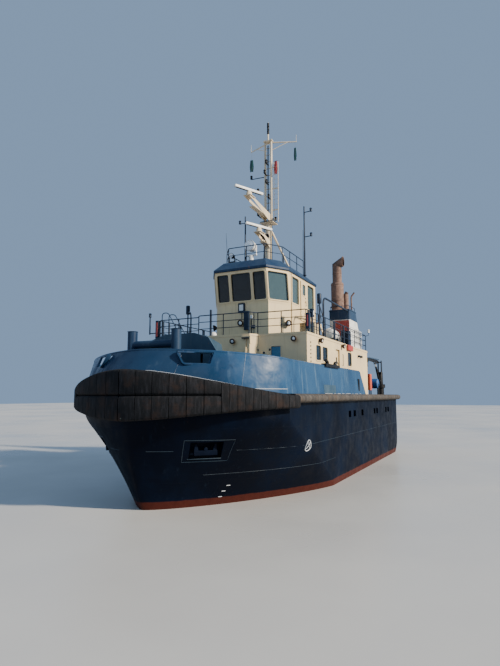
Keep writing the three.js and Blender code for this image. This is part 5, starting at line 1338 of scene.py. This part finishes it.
# %% Deck crane
CRANE_X, CRANE_Y, SLEW, PIVOT = -10.8, 3.85, 4.65, 6.35
FOOT_X, FOOT_Z, EYE_X, EYE_Z, TIP_X = CRANE_X + 0.42, 5.0, CRANE_X + 1.5, 6.18, CRANE_X + 3.7
ram_foot = (FOOT_X, CRANE_Y, FOOT_Z)
ram = np.array([EYE_X - FOOT_X, 0, EYE_Z - FOOT_Z])
ram_length = float(np.linalg.norm(ram))
ram /= ram_length


def cross_pin(x, z, half, radius):
    """A pin across the crane."""
    return disc(radius, -half, half, (x, CRANE_Y, z), ACROSS)


def crane_plate(outline, x, y, z, thickness):
    """An upright plate, y being its distance to port of the crane's middle."""
    return slab(outline, (x, CRANE_Y + y, z), thickness)


pedestal = [(0.34, PLATE_GAP), (0.34, 0.03), (0.24, 0.05), (0.24, 1.70), (0.33, 1.73), (0.33, 1.8495),
            (0.0, 1.8495)]
gussets = [slab([(0.23, 0.03), (0.34, 0.03), (0.23, 0.35)], (CRANE_X, CRANE_Y, MAIN_DECK), 0.014,
                (math.cos(a), math.sin(a), 0)) for a in circle(6)]
dressed("crane_pedestal", [turned(pedestal, (CRANE_X, CRANE_Y, MAIN_DECK), sides=36), *gussets], BLACK,
        slot="gear_paint")
column_profile = [(0.0, 0.0), (0.33, 0.0), (0.33, 0.11), (0.31, 0.12), (0.19, 0.13), (0.19, 0.95),
                  (0.17, 1.0), (0.0, 1.0)]
column_cheek = [(-0.2, SLEW + 0.9), (0.2, SLEW + 0.9), (0.17, PIVOT), (0.1, PIVOT + 0.12),
                (-0.1, PIVOT + 0.12), (-0.17, PIVOT)]
ram_lug = [(0.12, -0.07), (0.46, -0.07), (0.48, 0.0), (0.46, 0.07), (0.12, 0.07)]
column = [
    turned([(radius, SLEW + z) for radius, z in column_profile], (CRANE_X, CRANE_Y, 0), sides=36),
    block((CRANE_X - 0.2, CRANE_Y - 0.126, SLEW + 0.85), (CRANE_X + 0.2, CRANE_Y + 0.126, SLEW + 1.0)),
    *(crane_plate(column_cheek, CRANE_X, y + 0.015, 0, 0.03) for y in (-0.111, 0.111)),
    *(crane_plate(ram_lug, CRANE_X, y + 0.015, FOOT_Z, 0.03) for y in (-0.091, 0.091)),
    cross_pin(CRANE_X, PIVOT, 0.14, 0.04),
    *(disc(0.04, 0.07, 0.12, ram_foot, (0, side, 0)) for side in (1, -1)),
    *(disc(0.02, 0.0, 0.018, (CRANE_X + 0.28 * math.cos(a), CRANE_Y + 0.28 * math.sin(a), SLEW + 0.115),
           UP, 6) for a in circle(12))]
dressed("crane_column", column, BLACK, "crane_slewing", slot="gear_paint", bevel=0.006)
beam = [(0.5, -0.06), (3.7, -0.01), (3.7, 0.11), (0.5, 0.16), (-0.09, 0.09), (-0.09, -0.09)]
lug = [(-0.16, PIVOT - 0.01), (-0.05, EYE_Z - 0.05), (0.0, EYE_Z - 0.07), (0.05, EYE_Z - 0.05),
       (0.16, PIVOT - 0.01)]
boom = [crane_plate(beam, CRANE_X, -0.088, PIVOT, 0.176),
        *(crane_plate(lug, EYE_X, y, 0, 0.022) for y in (-0.066, 0.088))]
dressed("crane_boom", boom, BLACK, "crane_jib", slot="gear_paint", bevel=0.008)
sheave = symmetric([(0.0, -0.05), (0.07, -0.05), (0.05, -0.02)])
hook_x = TIP_X - 0.03
cable = [(CRANE_X + 0.3, 0.155), (CRANE_X + 0.6, 0.175), (TIP_X - 0.3, 0.13)]
hook_bend = [(hook_x + 0.06 * math.sin(a), CRANE_Y, PIVOT - 0.42 + 0.07 * math.cos(a))
             for a in np.linspace(0, 1.4 * np.pi, 10)]
boom_fittings = [
    block((TIP_X - 0.06, CRANE_Y - 0.06, PIVOT - 0.12), (TIP_X, CRANE_Y + 0.06, PIVOT + 0.02)),
    turned(sheave, (hook_x, CRANE_Y, PIVOT - 0.16), ACROSS, 20),
    *(tube([(x, CRANE_Y + y, PIVOT + z) for x, z in cable], 0.012, 8) for y in (-0.03, 0.0, 0.03)),
    tube([(hook_x, CRANE_Y, PIVOT - 0.22), *hook_bend], 0.018, 10)]
piece("crane_boom_fittings", boom_fittings, GEAR_GREY, "crane_jib")
barrel = [(0.05, 0.05), (0.068, 0.06), (0.068, 1.24), (0.075, 1.25), (0.075, 1.30), (0.042, 1.30),
          (0.042, 1.24)]
rod = [(0.04, 0.18), (0.04, ram_length - 0.05), (0.0, ram_length - 0.04)]
dressed("crane_barrel", [cross_pin(FOOT_X, FOOT_Z, 0.068, 0.075), turned(barrel, ram_foot, ram, 28)], BLACK,
        "crane_cylinder", slot="gear_paint")
dressed("crane_rod", [cross_pin(EYE_X, EYE_Z, 0.054, 0.07), turned(rod, ram_foot, ram, 24)], CHROME,
        "crane_piston")

# %% [markdown]
# Under the after body hang two thrusters that turn all the way round, each a streamlined leg,
# a pod and a short nozzle. The propeller's blades are sections set on a growing radius: each
# section is a thin lens turned from the disc by its own pitch angle.

# %% Thrusters and propellers
NOZZLE_X, NOZZLE_HALF = -0.60, 0.34
AXIS = (0, 0, SHAFT)
leg_outline = [(0.36, 0.0), (0.28, 0.07), (0.10, 0.11), (-0.15, 0.11), (-0.35, 0.03), (-0.35, -0.03),
               (-0.15, -0.11), (0.10, -0.11), (0.28, -0.07)]
seat_plate = [(0.0, -0.16), (0.58, -0.16), (0.60, -0.14), (0.60, -PLATE_GAP), (0.0, -PLATE_GAP)]
pod = [(0.19, -0.38), (0.23, -0.36), (0.23, 0.30), (0.215, 0.42), (0.16, 0.54), (0.08, 0.61), (0.0, 0.625)]
station = np.linspace(-1, 1, 15)
nozzle_outer = np.interp(station, (-1, -0.2, 0.7, 1), (0.915, 1.03, 1.03, 0.955))
nozzle_inner = np.interp(station, (-1, 0.0, 1), (0.90, 0.87, 0.95))
nozzle_profile = [*zip(nozzle_inner, station * NOZZLE_HALF),
                  *zip(nozzle_outer[::-1], station[::-1] * NOZZLE_HALF)]
nozzle_rows = turned(nozzle_profile, (NOZZLE_X, 0, SHAFT), ALONG, 64)[0].reshape(-1, 64, 3)
thruster_parts = [
    grid(np.stack([at_height(leg_outline, SHAFT + 0.1), at_height(leg_outline, THRUSTER_SEAT - PLATE_GAP)])),
    turned([(radius, THRUSTER_SEAT + z) for radius, z in seat_plate], sides=48), turned(pod, AXIS, ALONG, 36),
    grid(np.vstack([nozzle_rows, nozzle_rows[:1]])[::-1], True, False),
    *both_sides(bar((-0.15, 0.15, SHAFT - 0.08), (-0.38, 0.80, SHAFT - 0.42), 0.055, 14)),
    block((-0.35, -0.06, SHAFT + 0.2), (-0.2, 0.06, SHAFT + 0.94)),
    *(block((-0.05, y - 0.03, SHAFT + 0.5), (0.05, y + 0.03, SHAFT + 0.8)) for y in (-0.12, 0.12))]


def blade_sections():
    """Lens sections on a radius r: chord c(r) at an angle p(r) to the disc."""
    radius = np.linspace(0.15, 0.80, 12)
    chord = np.interp(radius, (0.15, 0.4, 0.65, 0.75, 0.80), (0.30, 0.48, 0.56, 0.47, 0.30))
    pitch = np.radians(np.interp(radius, (0.15, 0.4, 0.65, 0.80), (55, 38, 28, 22)))[:, None]
    along = np.cos(circle(20))[None] * chord[:, None] / 2
    thick = np.sin(circle(20))[None] * np.interp(radius, (0.15, 0.8), (0.034, 0.012))[:, None]
    x = -0.58 + along * np.sin(pitch) - thick * np.cos(pitch)
    y = along * np.cos(pitch) + thick * np.sin(pitch)
    return grid(np.stack([x, y, np.broadcast_to(radius[:, None], x.shape)], axis=-1))


screw_hub = [(0, -0.86), (0.06, -0.85), (0.12, -0.78), (0.17, -0.72), (0.19, -0.66), (0.19, -0.3805),
             (0, -0.3805)]
blade = blade_sections()
screw_parts = [turned(screw_hub, AXIS, ALONG, 36),
               *(through(Matrix.Translation(AXIS) @ Matrix.Rotation(k * math.pi / 2, 4, "X"), blade)
                 for k in range(4))]
for name, side in (("port", 1), ("starboard", -1)):
    at = (THRUSTER_X, side * THRUSTER_Y, 0)
    dressed(f"thruster_{name}", [shifted(part, at) for part in thruster_parts], ANTIFOUL, f"azimuth_{name}")
    dressed(f"propeller_{name}", [shifted(part, at) for part in screw_parts], BRONZE, f"screw_{name}")

# %% [markdown]
# The life raft lies in a round white canister on a cradle, with straps about it. The helm
# seat's cushions swell by a formula, which gives the same form each time, as a cloth
# simulation might not.

# %% Life raft and helm seat
RAFT_Y, RAFT_Z = 3.35, HOUSE_TOP + 0.52
raft = symmetric([(0.0, -0.6), (0.18, -0.59), (0.27, -0.55), (0.30, -0.47), (0.30, -0.02), (0.31, -0.015)])
half_cradle = [(0.26, 0.33), (0.2, 0.30), (0.1, 0.24)]
cradle = [(-0.26, 0), (0.26, 0), *half_cradle, *((-y, z) for y, z in half_cradle[::-1])]
strap = [(0.302, -0.02), (0.308, -0.02), (0.308, 0.02), (0.302, 0.02)]
holders = [*(slab(cradle, (x, RAFT_Y, HOUSE_TOP + PLATE_GAP), 0.09, ACROSS) for x in (-1.3, -0.62)),
           *(turned(strap, (x, RAFT_Y, RAFT_Z), ALONG, 40) for x in (-1.25, -0.57))]
piece("life_raft_canister", [turned(raft, (-0.9, RAFT_Y, RAFT_Z), ALONG, 40)], WHITE, stands_for="life_raft")
piece("life_raft_cradle", holders, RAIL_BLUE, bevel=0.006)
seat_frame = [turned([(0.22, 0.002), (0.22, 0.02), (0.06, 0.04), (0.06, 0.55)], (0.9, 0, BRIDGE_FLOOR),
                     sides=24)]
seat_frame += [tube(bent([(0.74, y, 8.38), (0.72, y, 8.60), (1.05, y, 8.62)], 0.08), 0.03, 10)
               for y in (-0.30, 0.30)]
piece("helm_seat_frame", seat_frame, GEAR_GREY)


def cushion(name, low, high, crown, buttons):
    """A padded block: its face rises as crown (1 - u^4)(1 - v^4) over each side, with a dimple
    at each button and a welt round its middle."""
    low, high = np.asarray(low, float), np.asarray(high, float)
    span = np.linspace(-1, 1, 17)
    u, v = np.meshgrid(span, span, indexing="ij")
    swell = crown * (1 - u ** 4) * (1 - v ** 4)
    for bu, bv in buttons:
        swell = swell - 0.6 * crown * np.exp(-((u - bu) ** 2 + (v - bv) ** 2) / 0.02)
    flat = int(np.argmin(high - low))
    middle, half = (low + high) / 2, (high - low) / 2
    pull = 1 - 0.06 * (u ** 6) * (v ** 6)
    sides, rims = [], []
    for sign in (1, -1):
        points = np.empty((17, 17, 3))
        for axis, place_on in zip((k for k in range(3) if k != flat), (u, v)):
            points[..., axis] = middle[axis] + half[axis] * place_on * pull
        points[..., flat] = middle[flat] + sign * (half[flat] + swell)
        sides.append(grid(points[:, ::sign], False, False))
        rims.append(np.vstack([points[:-1, 0], points[-1, :-1], points[:0:-1, -1], points[0, :0:-1]]))
    welt = tube(np.mean(rims, axis=0), 0.009, 8, True)
    return piece(name, [*sides, grid(np.stack(rims), True, False), welt], UPHOLSTERY, sharp=60)


seat_pad = cushion("helm_seat_pad", (0.64, -0.255, 8.345), (1.15, 0.255, 8.44), 0.022, [(-0.4, 0), (0.4, 0)])
seat_back = cushion("helm_seat_back", (0.60, -0.245, 8.47), (0.69, 0.245, 9.13), 0.018, [(0, -0.4), (0, 0.4)])
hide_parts("helm_seat")

# %% [markdown]
# A thin pipe rises by the port rail and runs level to the port funnel. Its corner is an arc,
# and one tube along it keeps the same thickness through the bend.

# %% Bent vent pipe
VENT_X, VENT_Y = 1.62, 3.72
vent_path = bent([(VENT_X, VENT_Y, HOUSE_TOP + PLATE_GAP), (VENT_X, VENT_Y, 8.9),
                  (FUNNEL_FRONT + 2 * PLATE_GAP, VENT_Y, 8.9)], 0.42, 10)
vent_flange = [(0.05, PLATE_GAP), (0.1, PLATE_GAP), (0.1, 0.015), (0.05, 0.02)]
piece("vent_pipe", [tube(vent_path, 0.05, 16), turned(vent_flange, (VENT_X, VENT_Y, HOUSE_TOP), sides=20)],
      RAIL_BLUE, stands_for="vent_port")


# %% [markdown]
# Each door has a small pane in a frame and a handle. They are pieces of their own that ride
# on the door's body, so that they turn with it.

# %% Door panes and handles
def door_pieces(body, frame_part, pane, *handle):
    """What rides on a door."""
    piece(f"{body}_frame", [frame_part], CREAM, body)
    piece(f"{body}_pane", [pane], GLASS, body)
    piece(f"{body}_handle", handle, BLACK, body)


AFT_DOOR_X = -6.356
GRIP = [(0, -0.14), (0.05, -0.14), (0.05, 0.14), (0, 0.14)]     # out from the door, up from its middle
rose = [(0.035, 0.0), (0.035, 0.012), (0.014, 0.014), (0.014, 0.03)]
for side, word in ((1, "port"), (-1, "starboard")):
    for body, (x, face, z), half_width, half_height, (grip_x, grip_z), corner in (
            (f"door_house_{word}", (0.20, 3.904, 5.77), 0.15, 0.20, (-0.08, 5.35), 0.10),
            (f"door_bridge_{word}", (0.30, 2.206, 9.65), 0.23, 0.30, (0.06, 8.95), 0.08)):
        grip = [(grip_x, face + out, grip_z + up) for out, up in GRIP]
        door_pieces(body, *window((x, side * face, z), (0, side, 0), half_width, half_height, corner),
                    tube(bent(grip, 0.03, 4) * (1, side, 1), 0.011, 10),
                    turned(rose, (grip_x, side * face, grip_z + 0.28), (0, side, 0), 16))
grip = [(AFT_DOOR_X - out, 1.15, 4.14 + up) for out, up in GRIP]
door_pieces("door_house_aft", *window((AFT_DOOR_X, 1.475, 4.50), (-1, 0, 0), 0.15, 0.20),
            tube(bent(grip, 0.03, 4), 0.011, 10))


# %% [markdown]
# Small fittings stand on the houses: round floodlights, boxes and pipes on the wheelhouse
# front, lamps along the side, and handrails at the landings.

# %% Floodlights and boxes
def floodlight(centre, outward, radius, depth=0.17):
    """A drum with a rim on a stub out of the wall, and its clear domed lens."""
    out = np.asarray(outward, float) / np.linalg.norm(outward)
    back = np.asarray(centre, float) + out * 0.03
    drum = [(0, 0), (radius * 0.55, 0), (radius * 0.92, depth * 0.5), (radius, depth * 0.6), (radius, depth),
            (radius * 0.66, depth), (radius * 0.62, depth - 0.03), (0, depth - 0.03)]
    stub = [(0.05, -0.03), (0.05, 0.03), (0.03, 0.05), (0.0, 0.05)]
    lens = [(0, depth - 0.029), (radius * 0.61, depth - 0.029), (radius * 0.4, depth - 0.006), (0, depth)]
    return [turned(drum, back, out, 24), turned(stub, back, out, 14)], [turned(lens, back, out, 24)]


clear, lamp_drums = [], []
for centre, outward, radius, both in (
        ((3.30, -0.03, 7.63), (1, 0, -0.25), 0.125, False),
        ((2.36, 2.02, 7.60), (0.70, 1.15, -0.2), 0.13, True),
        ((5.30, 0.59, 6.49), (1, 0, -0.3), 0.10, True), ((4.90, 3.44, 6.52), (1, 0, -0.3), 0.10, True),
        ((3.25, 4.0, 6.57), (0, 1, -0.35), 0.10, True), ((-0.51, 4.0, 6.63), (0, 1, -0.35), 0.10, True)):
    drum, lens = floodlight(centre, outward, radius * 1.25)
    lamp_drums += both_sides(*drum) if both else drum
    clear += both_sides(*lens) if both else lens

pole_head = [(0.0, 0), (0.10, 0.0), (0.11, 0.02), (0.11, 0.46), (0.09, 0.49), (0.0, 0.5)]
dark = [    # boxes and pipes on the house fronts, and fittings along the sides
    block((3.30, -0.19, 8.14), (3.40, 0.16, 8.61)), block((3.30, 0.16, 7.23), (3.46, 0.41, 8.18)),
    post(3.33, 0.52, 6.80, 7.80, 0.022, 8), post(3.33, 0.66, 6.80, 8.10, 0.016, 8),
    block((3.30, 0.55, 7.30), (3.36, 0.72, 7.46)), post(3.33, -0.02, 7.80, 8.14, 0.015, 8),
    # painted shade: this dark strip under the cream shelf on the deckhouse front stands for the shade beneath
    # it
    block((5.30, 1.05, 6.55), (5.43, 1.43, 6.60)),
    *(turned([(0.05, 0), (0.05, 0.03), (0.02, 0.05), (0, 0.05)], (4.90, y, z), ALONG, 14)
      for y, z in ((1.62, 6.05), (2.23, 6.04), (1.93, 5.91))),
]
for x in (-3.96, -4.50):
    dark += both_sides(turned([(0.05, 0), (0.07, 0.04), (0.07, 0.14), (0.0, 0.17)], (x, 4.0, 6.29),
                              ACROSS, 16))
dark += both_sides(*(block((4.43, 4.0, z), (4.47, 4.035, z + 0.06)) for z in np.arange(5.46, 6.4, 0.17)))
grab_rail = [(-0.62, y, z) for y, z in ((4.0, 5.55), (4.06, 5.55), (4.06, 6.15), (4.0, 6.15))]
dark += both_sides(tube(bent(grab_rail, 0.04, 3), 0.014, 8))
dark += both_sides(post(2.49, 3.80, HOUSE_TOP, 8.43, 0.035, 10),
                   turned(pole_head, (2.49, 3.80, 8.43), sides=24))
dark += both_sides(*(post(x, 3.95, HOUSE_TOP, HOUSE_TOP + 1.0, 0.05)
                     for x in (4.53, 4.02, 2.99, 0.54, -1.17)))
dark += [   # on the house top, and the side light to starboard
    block((3.82, 3.83, 7.56), (4.04, 3.99, 7.92)), block((-2.9, 3.45, HOUSE_TOP), (-2.4, 3.90, 7.65)),
    tube([(-6.23, 3.95, 7.74), (-6.30, 4.14, 7.80), (-6.30, 4.14, 7.95)], 0.016, 8),
    post(4.80, -4.60, 7.10, 8.0, 0.035, 10), lamp(4.80, -4.60, 8.0),
    bar((4.80, -3.95, 7.15), (4.80, -4.60, 7.15), 0.028, 8), block((4.68, -4.16, 6.86), (4.92, -3.99, 7.78)),
    tube([(x, -2.06, z) for x, z in (
        (4.85, HOUSE_TOP), (4.85, 7.85), (4.88, 8.0), (4.98, 8.07), (5.07, 8.0))], 0.035, 10),
    post(4.90, -0.89, HOUSE_TOP, 8.1, 0.055, 14), block((4.70, 3.99, 6.90), (4.92, 4.12, 7.60)),
]
dark += [   # on the roof
    post(0.69, 1.2, ROOF_TOP, 11.6, 0.03, 10), bar((1.9, -1.66, 11.70), (1.9, -1.74, 12.97), 0.016, 8, 0.008),
    bar((-1.2, 1.65, 11.70), (-1.22, 1.65, 13.59), 0.018, 8, 0.008),
    turned([(0.0, 0.0), (0.04, 0.0), (0.05, 0.12), (0.12, 0.24), (0.10, 0.24), (0.0, 0.14)],
           (0.18, 0.1, 12.98), ALONG, 20),
]
landing_rail = bent([(0.20, 2.95, 8.78), (-0.20, 2.95, 8.78), (-1.10, 2.95, 7.78)], 0.1, 5)
dark += both_sides(    # outside the wheelhouse doors
    tube(landing_rail, 0.022, 10), tube(landing_rail - (0, 0, 0.45), 0.015, 8),
    post(0.20, 2.95, 7.79, 8.77, 0.022, 10),
    post(-0.20, 2.95, 7.79, 8.77, 0.022, 10), post(-1.10, 2.95, HOUSE_TOP, 7.77, 0.022, 10))
cream = both_sides(post(2.03, 2.19, 6.80, 10.20, 0.032, 10), post(5.33, 1.22, 4.06, 6.52, 0.028, 10))
cream += [block((5.30, 1.05, 6.60), (5.44, 1.50, 6.66)), block((5.30, 1.44, 6.30), (5.44, 1.50, 6.60)),
          block((2.72, 3.38, HOUSE_TOP), (3.32, 3.84, 7.36))]
dome = [(0.10, 0), (0.16, 0.04), (0.16, 0.16), (0.11, 0.24), (0, 0.27)]
pale = [block((3.39, -0.13, 8.22), (3.405, 0.10, 8.53)), block((3.30, 0.47, 7.80), (3.37, 0.60, 7.96)),
        block((3.88, 3.99, 7.64), (3.98, 4.01, 7.84)), lamp(-6.30, 4.14, 7.95),
        turned(dome, (4.62, -0.9, HOUSE_TOP), sides=24),
        turned([(0.05, 0), (0.09, 0.05), (0.10, 0.14), (0.05, 0.20), (0, 0.21)], (1.55, 1.35, ROOF_TOP),
               sides=20),
        turned([(0.03, 0), (0.03, 0.35), (0.07, 0.37), (0.07, 0.42), (0, 0.45)], (0.9, -0.9, ROOF_TOP),
               sides=20)]
red = [*both_sides(block((-2.45, 4.0, 6.46), (-1.45, 4.13, 6.76))),
       block((4.92, -4.13, 6.95), (4.935, -4.02, 7.68)), block((4.92, 4.01, 7.0), (4.935, 4.07, 7.5))]

# Stair down the deckhouse front, to starboard
stair_top, stair_foot = np.array((5.40, -2.75, HOUSE_TOP)), np.array((5.40, -0.95, FORE_DECK))
run = stair_foot - stair_top
for x in (5.38, 5.94):
    top, foot = stair_top + (x - 5.40, 0, 0), stair_foot + (x - 5.40, 0, 0)
    cream.append(slab([(0, -0.10), (0, 0.10), (1, 0.10), (1, -0.10)], top, 0.02, run))
    arch = [foot + (0, 0.05, 0.95), top + (0, 0.1, 1.15), top + (0, -0.25, 1.15), top + (0, -0.25, 0.0)]
    dark.append(tube(bent(arch, 0.15, 6), 0.02, 10))
    dark += [bar(top + run * t, top + run * t + UP, 0.016, 8) for t in (0.3, 0.65, 0.98)]
for t in np.linspace(0.08, 0.94, 10):
    tread = stair_top + run * t
    cream.append(block(tread + (0.0, -0.10, -0.012), tread + (0.54, 0.10, 0.012)))

piece("rusty_vent_trunk", [block((2.30, 3.40, 6.79), (2.55, 3.75, 7.5))], RUST, bevel=0.03)
piece("fittings_cream", cream, CREAM, bevel=0.006, segments=1)
piece("fittings_dark", dark, RAIL_BLUE, bevel=0.006, segments=1)
piece("fittings_pale", pale, WHITE, bevel=0.005, segments=1)
piece("fittings_lenses", clear, LENS)
piece("floodlight_drums", lamp_drums, BROWN)
piece("fittings_red", red, RED, bevel=0.008, segments=1)


# %% [markdown]
# Lines run over the hull and the bulwark: weld seams, worn edges, the thruster marks, draft
# ticks and a bare plate. Each is a thin bead half sunk in the surface it lies on.

# %% Marks and seams on the plating
def on_hull(x, z, out=0.0):
    """The port plating at a length and a height: y = half (1 - t^n)^(1/n), moved out."""
    _, _, shoulder, stem, half, fullness = faired(z)
    t = np.clip((x - shoulder) / (stem - shoulder), 0, 1)
    return np.array([x, half * (1 - t ** fullness) ** (1 / fullness) + out, z])


def on_bulwark(x, z, out=0.0):
    """The port bulwark's face at a length and a height, between its foot, knuckle and head."""
    port = [edge[:len(side_x) + BOW_STEPS + 1] for edge in outer_sheet]
    breadths, heights = ([np.interp(x, edge[:, 0], edge[:, k]) for edge in port] for k in (1, 2))
    return np.array([x, np.interp(z, heights, breadths) + out, z])


def seam(corners, radius=0.012, surface=on_hull, steps=10, out=0.0):
    """A bead over a surface through corners given as (x, z), moved out of it."""
    corners = np.asarray(corners, float)
    path = [corners[0]]
    for start, end in zip(corners, corners[1:]):
        path += [start + (end - start) * t for t in np.linspace(0, 1, steps + 1)[1:]]
    return tube([surface(x, z, out) for x, z in path], radius, 6)


ring = [(6.57 + 0.21 * math.cos(a), 2.036 + 0.21 * math.sin(a)) for a in np.linspace(0, 2 * math.pi, 25)]
marks = [seam(ring, 0.018, steps=1, out=0.01),
         *(seam([(6.42, low), (6.72, 4.072 - low)], 0.016, out=0.01) for low in (1.886, 2.186)),
         *(seam([(x - 0.09, z), (x + 0.03, z)], 0.014, steps=3)
           for x, z in ((8.99, 0.72), (9.03, 0.51), (9.03, 0.30)))]
pocket_rim = [(11.05, 2.46), (9.90, 2.46), (9.62, 1.70), (10.78, 1.70), (11.05, 2.46)]
# the thick bead across the foot of each anchor pocket is its sill; its paler weld paint is partly painted
# highlight
welds = [seam(pocket_rim, 0.010), seam([(9.6, 2.07), (-12.0, 2.07)], 0.006, steps=40),
         seam([(11.55, 2.09), (11.1, 2.09)], 0.008), seam([(10.0, 1.2), (3.0, 1.2)], 0.006, steps=30),
         seam([(10.70, 1.80), (9.86, 1.80)], 0.018)]
wear = [seam([(x, 4.07 + 0.012 * math.sin(5 * x)), (x + length, 4.07)], 0.010, on_bulwark, 4)
        for x, length in ((-2.0, 0.35), (-1.35, 0.7), (-0.4, 0.3), (0.15, 0.95), (1.35, 0.4), (2.0, 0.5),
                          (2.75, 0.28), (3.3, 1.1))]
bow_knuckle = outer_sheet[1][len(side_x):len(side_x) + 2 * BOW_STEPS + 1] + (0, 0, 0.012)
seams = [tube([outer_sheet[k][len(side_x) + i] for k in (1, 2)], 0.009, 6) for i in (19, 34, 62, 77)]
piece("hull_marks", both_sides(*marks), MARK_WHITE, slot="hull_paint")
piece("hull_welds", both_sides(*welds), WELD)
piece("bulwark_wear", [*both_sides(*wear), tube(bow_knuckle[3:-3], 0.010, 6)], MARK_WHITE,
      slot="bulwark_paint")
piece("bulwark_seams", seams, BULWARK)

plate_loop = ((4.08, 0.008), (4.45, 0.008), (4.45, -0.012), (4.08, -0.012))
plate = grid(np.array([[on_bulwark(x, z, out) for z, out in plate_loop] for x in (2.75, 4.53)]))
head = FORE_DECK + 1.23
fairlead = [block((2.1, 4.40, head - 0.02), (4.2, 4.64, head + 0.12)),
            *(tube(bent([(x, 4.54, head), (x, 4.54, head + 0.20), (x + lean, 4.54, head + 0.26)], 0.06, 4),
                   [0.085] * 6 + [0.06], 14) for x, lean in ((2.55, -0.28), (3.75, 0.28)))]
piece("bulwark_bare_plate", both_sides(plate), GEAR_GREY, slot="bulwark_paint")
# painted shade: a dark block on each bulwark's face stands for the shade inside a recess
piece("bulwark_recess_shade", both_sides(block((-1.74, 4.57, 4.22), (-1.48, 4.626, 4.87))), BLACK,
      slot="bulwark_paint", bevel=0.01)
piece("bulwark_fairleads", both_sides(*fairlead), BLACK, slot="gear_paint", bevel=0.012)

# %% [markdown]
# On the after deck stand a locker for fire gear and a hose reel with a blue cover. Little of
# them shows over the bulwark, so boxes and a turned drum are enough.

# %% After deck gear
locker = [block((-7.08, 3.64, 4.32), (-6.58, 4.08, 5.35)), block((-7.02, 4.08, 4.40), (-6.64, 4.10, 5.27))]
cover = [(0.0, 0.0), (0.27, 0.0), (0.32, 0.04), (0.33, 0.25), (0.32, 0.46), (0.27, 0.50), (0.0, 0.50)]
trestle = [(-0.25, 0), (0.25, 0), (0.07, 1.98), (-0.07, 1.98)]
stands = [*(post(x, y, MAIN_DECK, 4.33, 0.03, 8) for x in (-7.02, -6.64) for y in (3.70, 4.02)),
          *(slab(trestle, (-8.74, y, MAIN_DECK), 0.02) for y in (3.65, 4.17))]
piece("fire_locker", locker, ORANGE, bevel=0.012)
piece("hose_reel_cover", [turned(cover, (-8.74, 3.65, 4.78), ACROSS, 28)], BLUE)
piece("after_deck_stands", stands, BLACK, slot="gear_paint", bevel=0.006, segments=1)


# %% [markdown]
# Three small pennants hang from the mast: two on halyards under the yard's ends and one at the
# ladder. Each is one sheet, folded softly down its length.

# %% Pennants
def pennant(name, top, width, length, finish):
    """Cloth hung by its top corners: x = 0.12 w sin(9 u + 2 v), so that it swings in folds; the
    flat width is a little more than the hung one."""
    u, v = np.meshgrid(np.linspace(-0.5, 0.5, 13), np.linspace(0, 1, 25), indexing="ij")
    points = np.empty((13, 25, 3))
    points[..., 0] = top[0] + 0.12 * width * np.sin(9 * u + 2 * v) * (0.3 + 0.7 * v)
    points[..., 1] = top[1] + width * u * (1.1 - 0.6 * np.abs(v - 0.6))
    points[..., 2] = top[2] - length * v
    made = piece(name, [grid(points, False, False)], finish, sharp=180)
    made.modifiers.new("thickness", "SOLIDIFY").thickness = 0.002


PORT_TIP, STARBOARD_TIP = 1.41, -1.45
pennant("pennant_port", on_yard(PORT_TIP, 0.40), 0.16, 0.80, PENNANT_GREEN)
pennant("pennant_starboard", on_yard(STARBOARD_TIP, 0.55), 0.24, 0.76, PENNANT_GREEN)
pennant("pennant_mast", (0.03, 0.49, 17.55), 0.20, 0.80, RED)
halyards = [bar(on_yard(y, 0.03), on_yard(y, drop), 0.004, 6)
            for y, drop in ((PORT_TIP, 0.41), (STARBOARD_TIP, 0.56))]
piece("pennant_halyards", [*halyards, bar((0.03, 0.37, 17.545), (0.03, 0.61, 17.545), 0.006, 6)], BLACK)
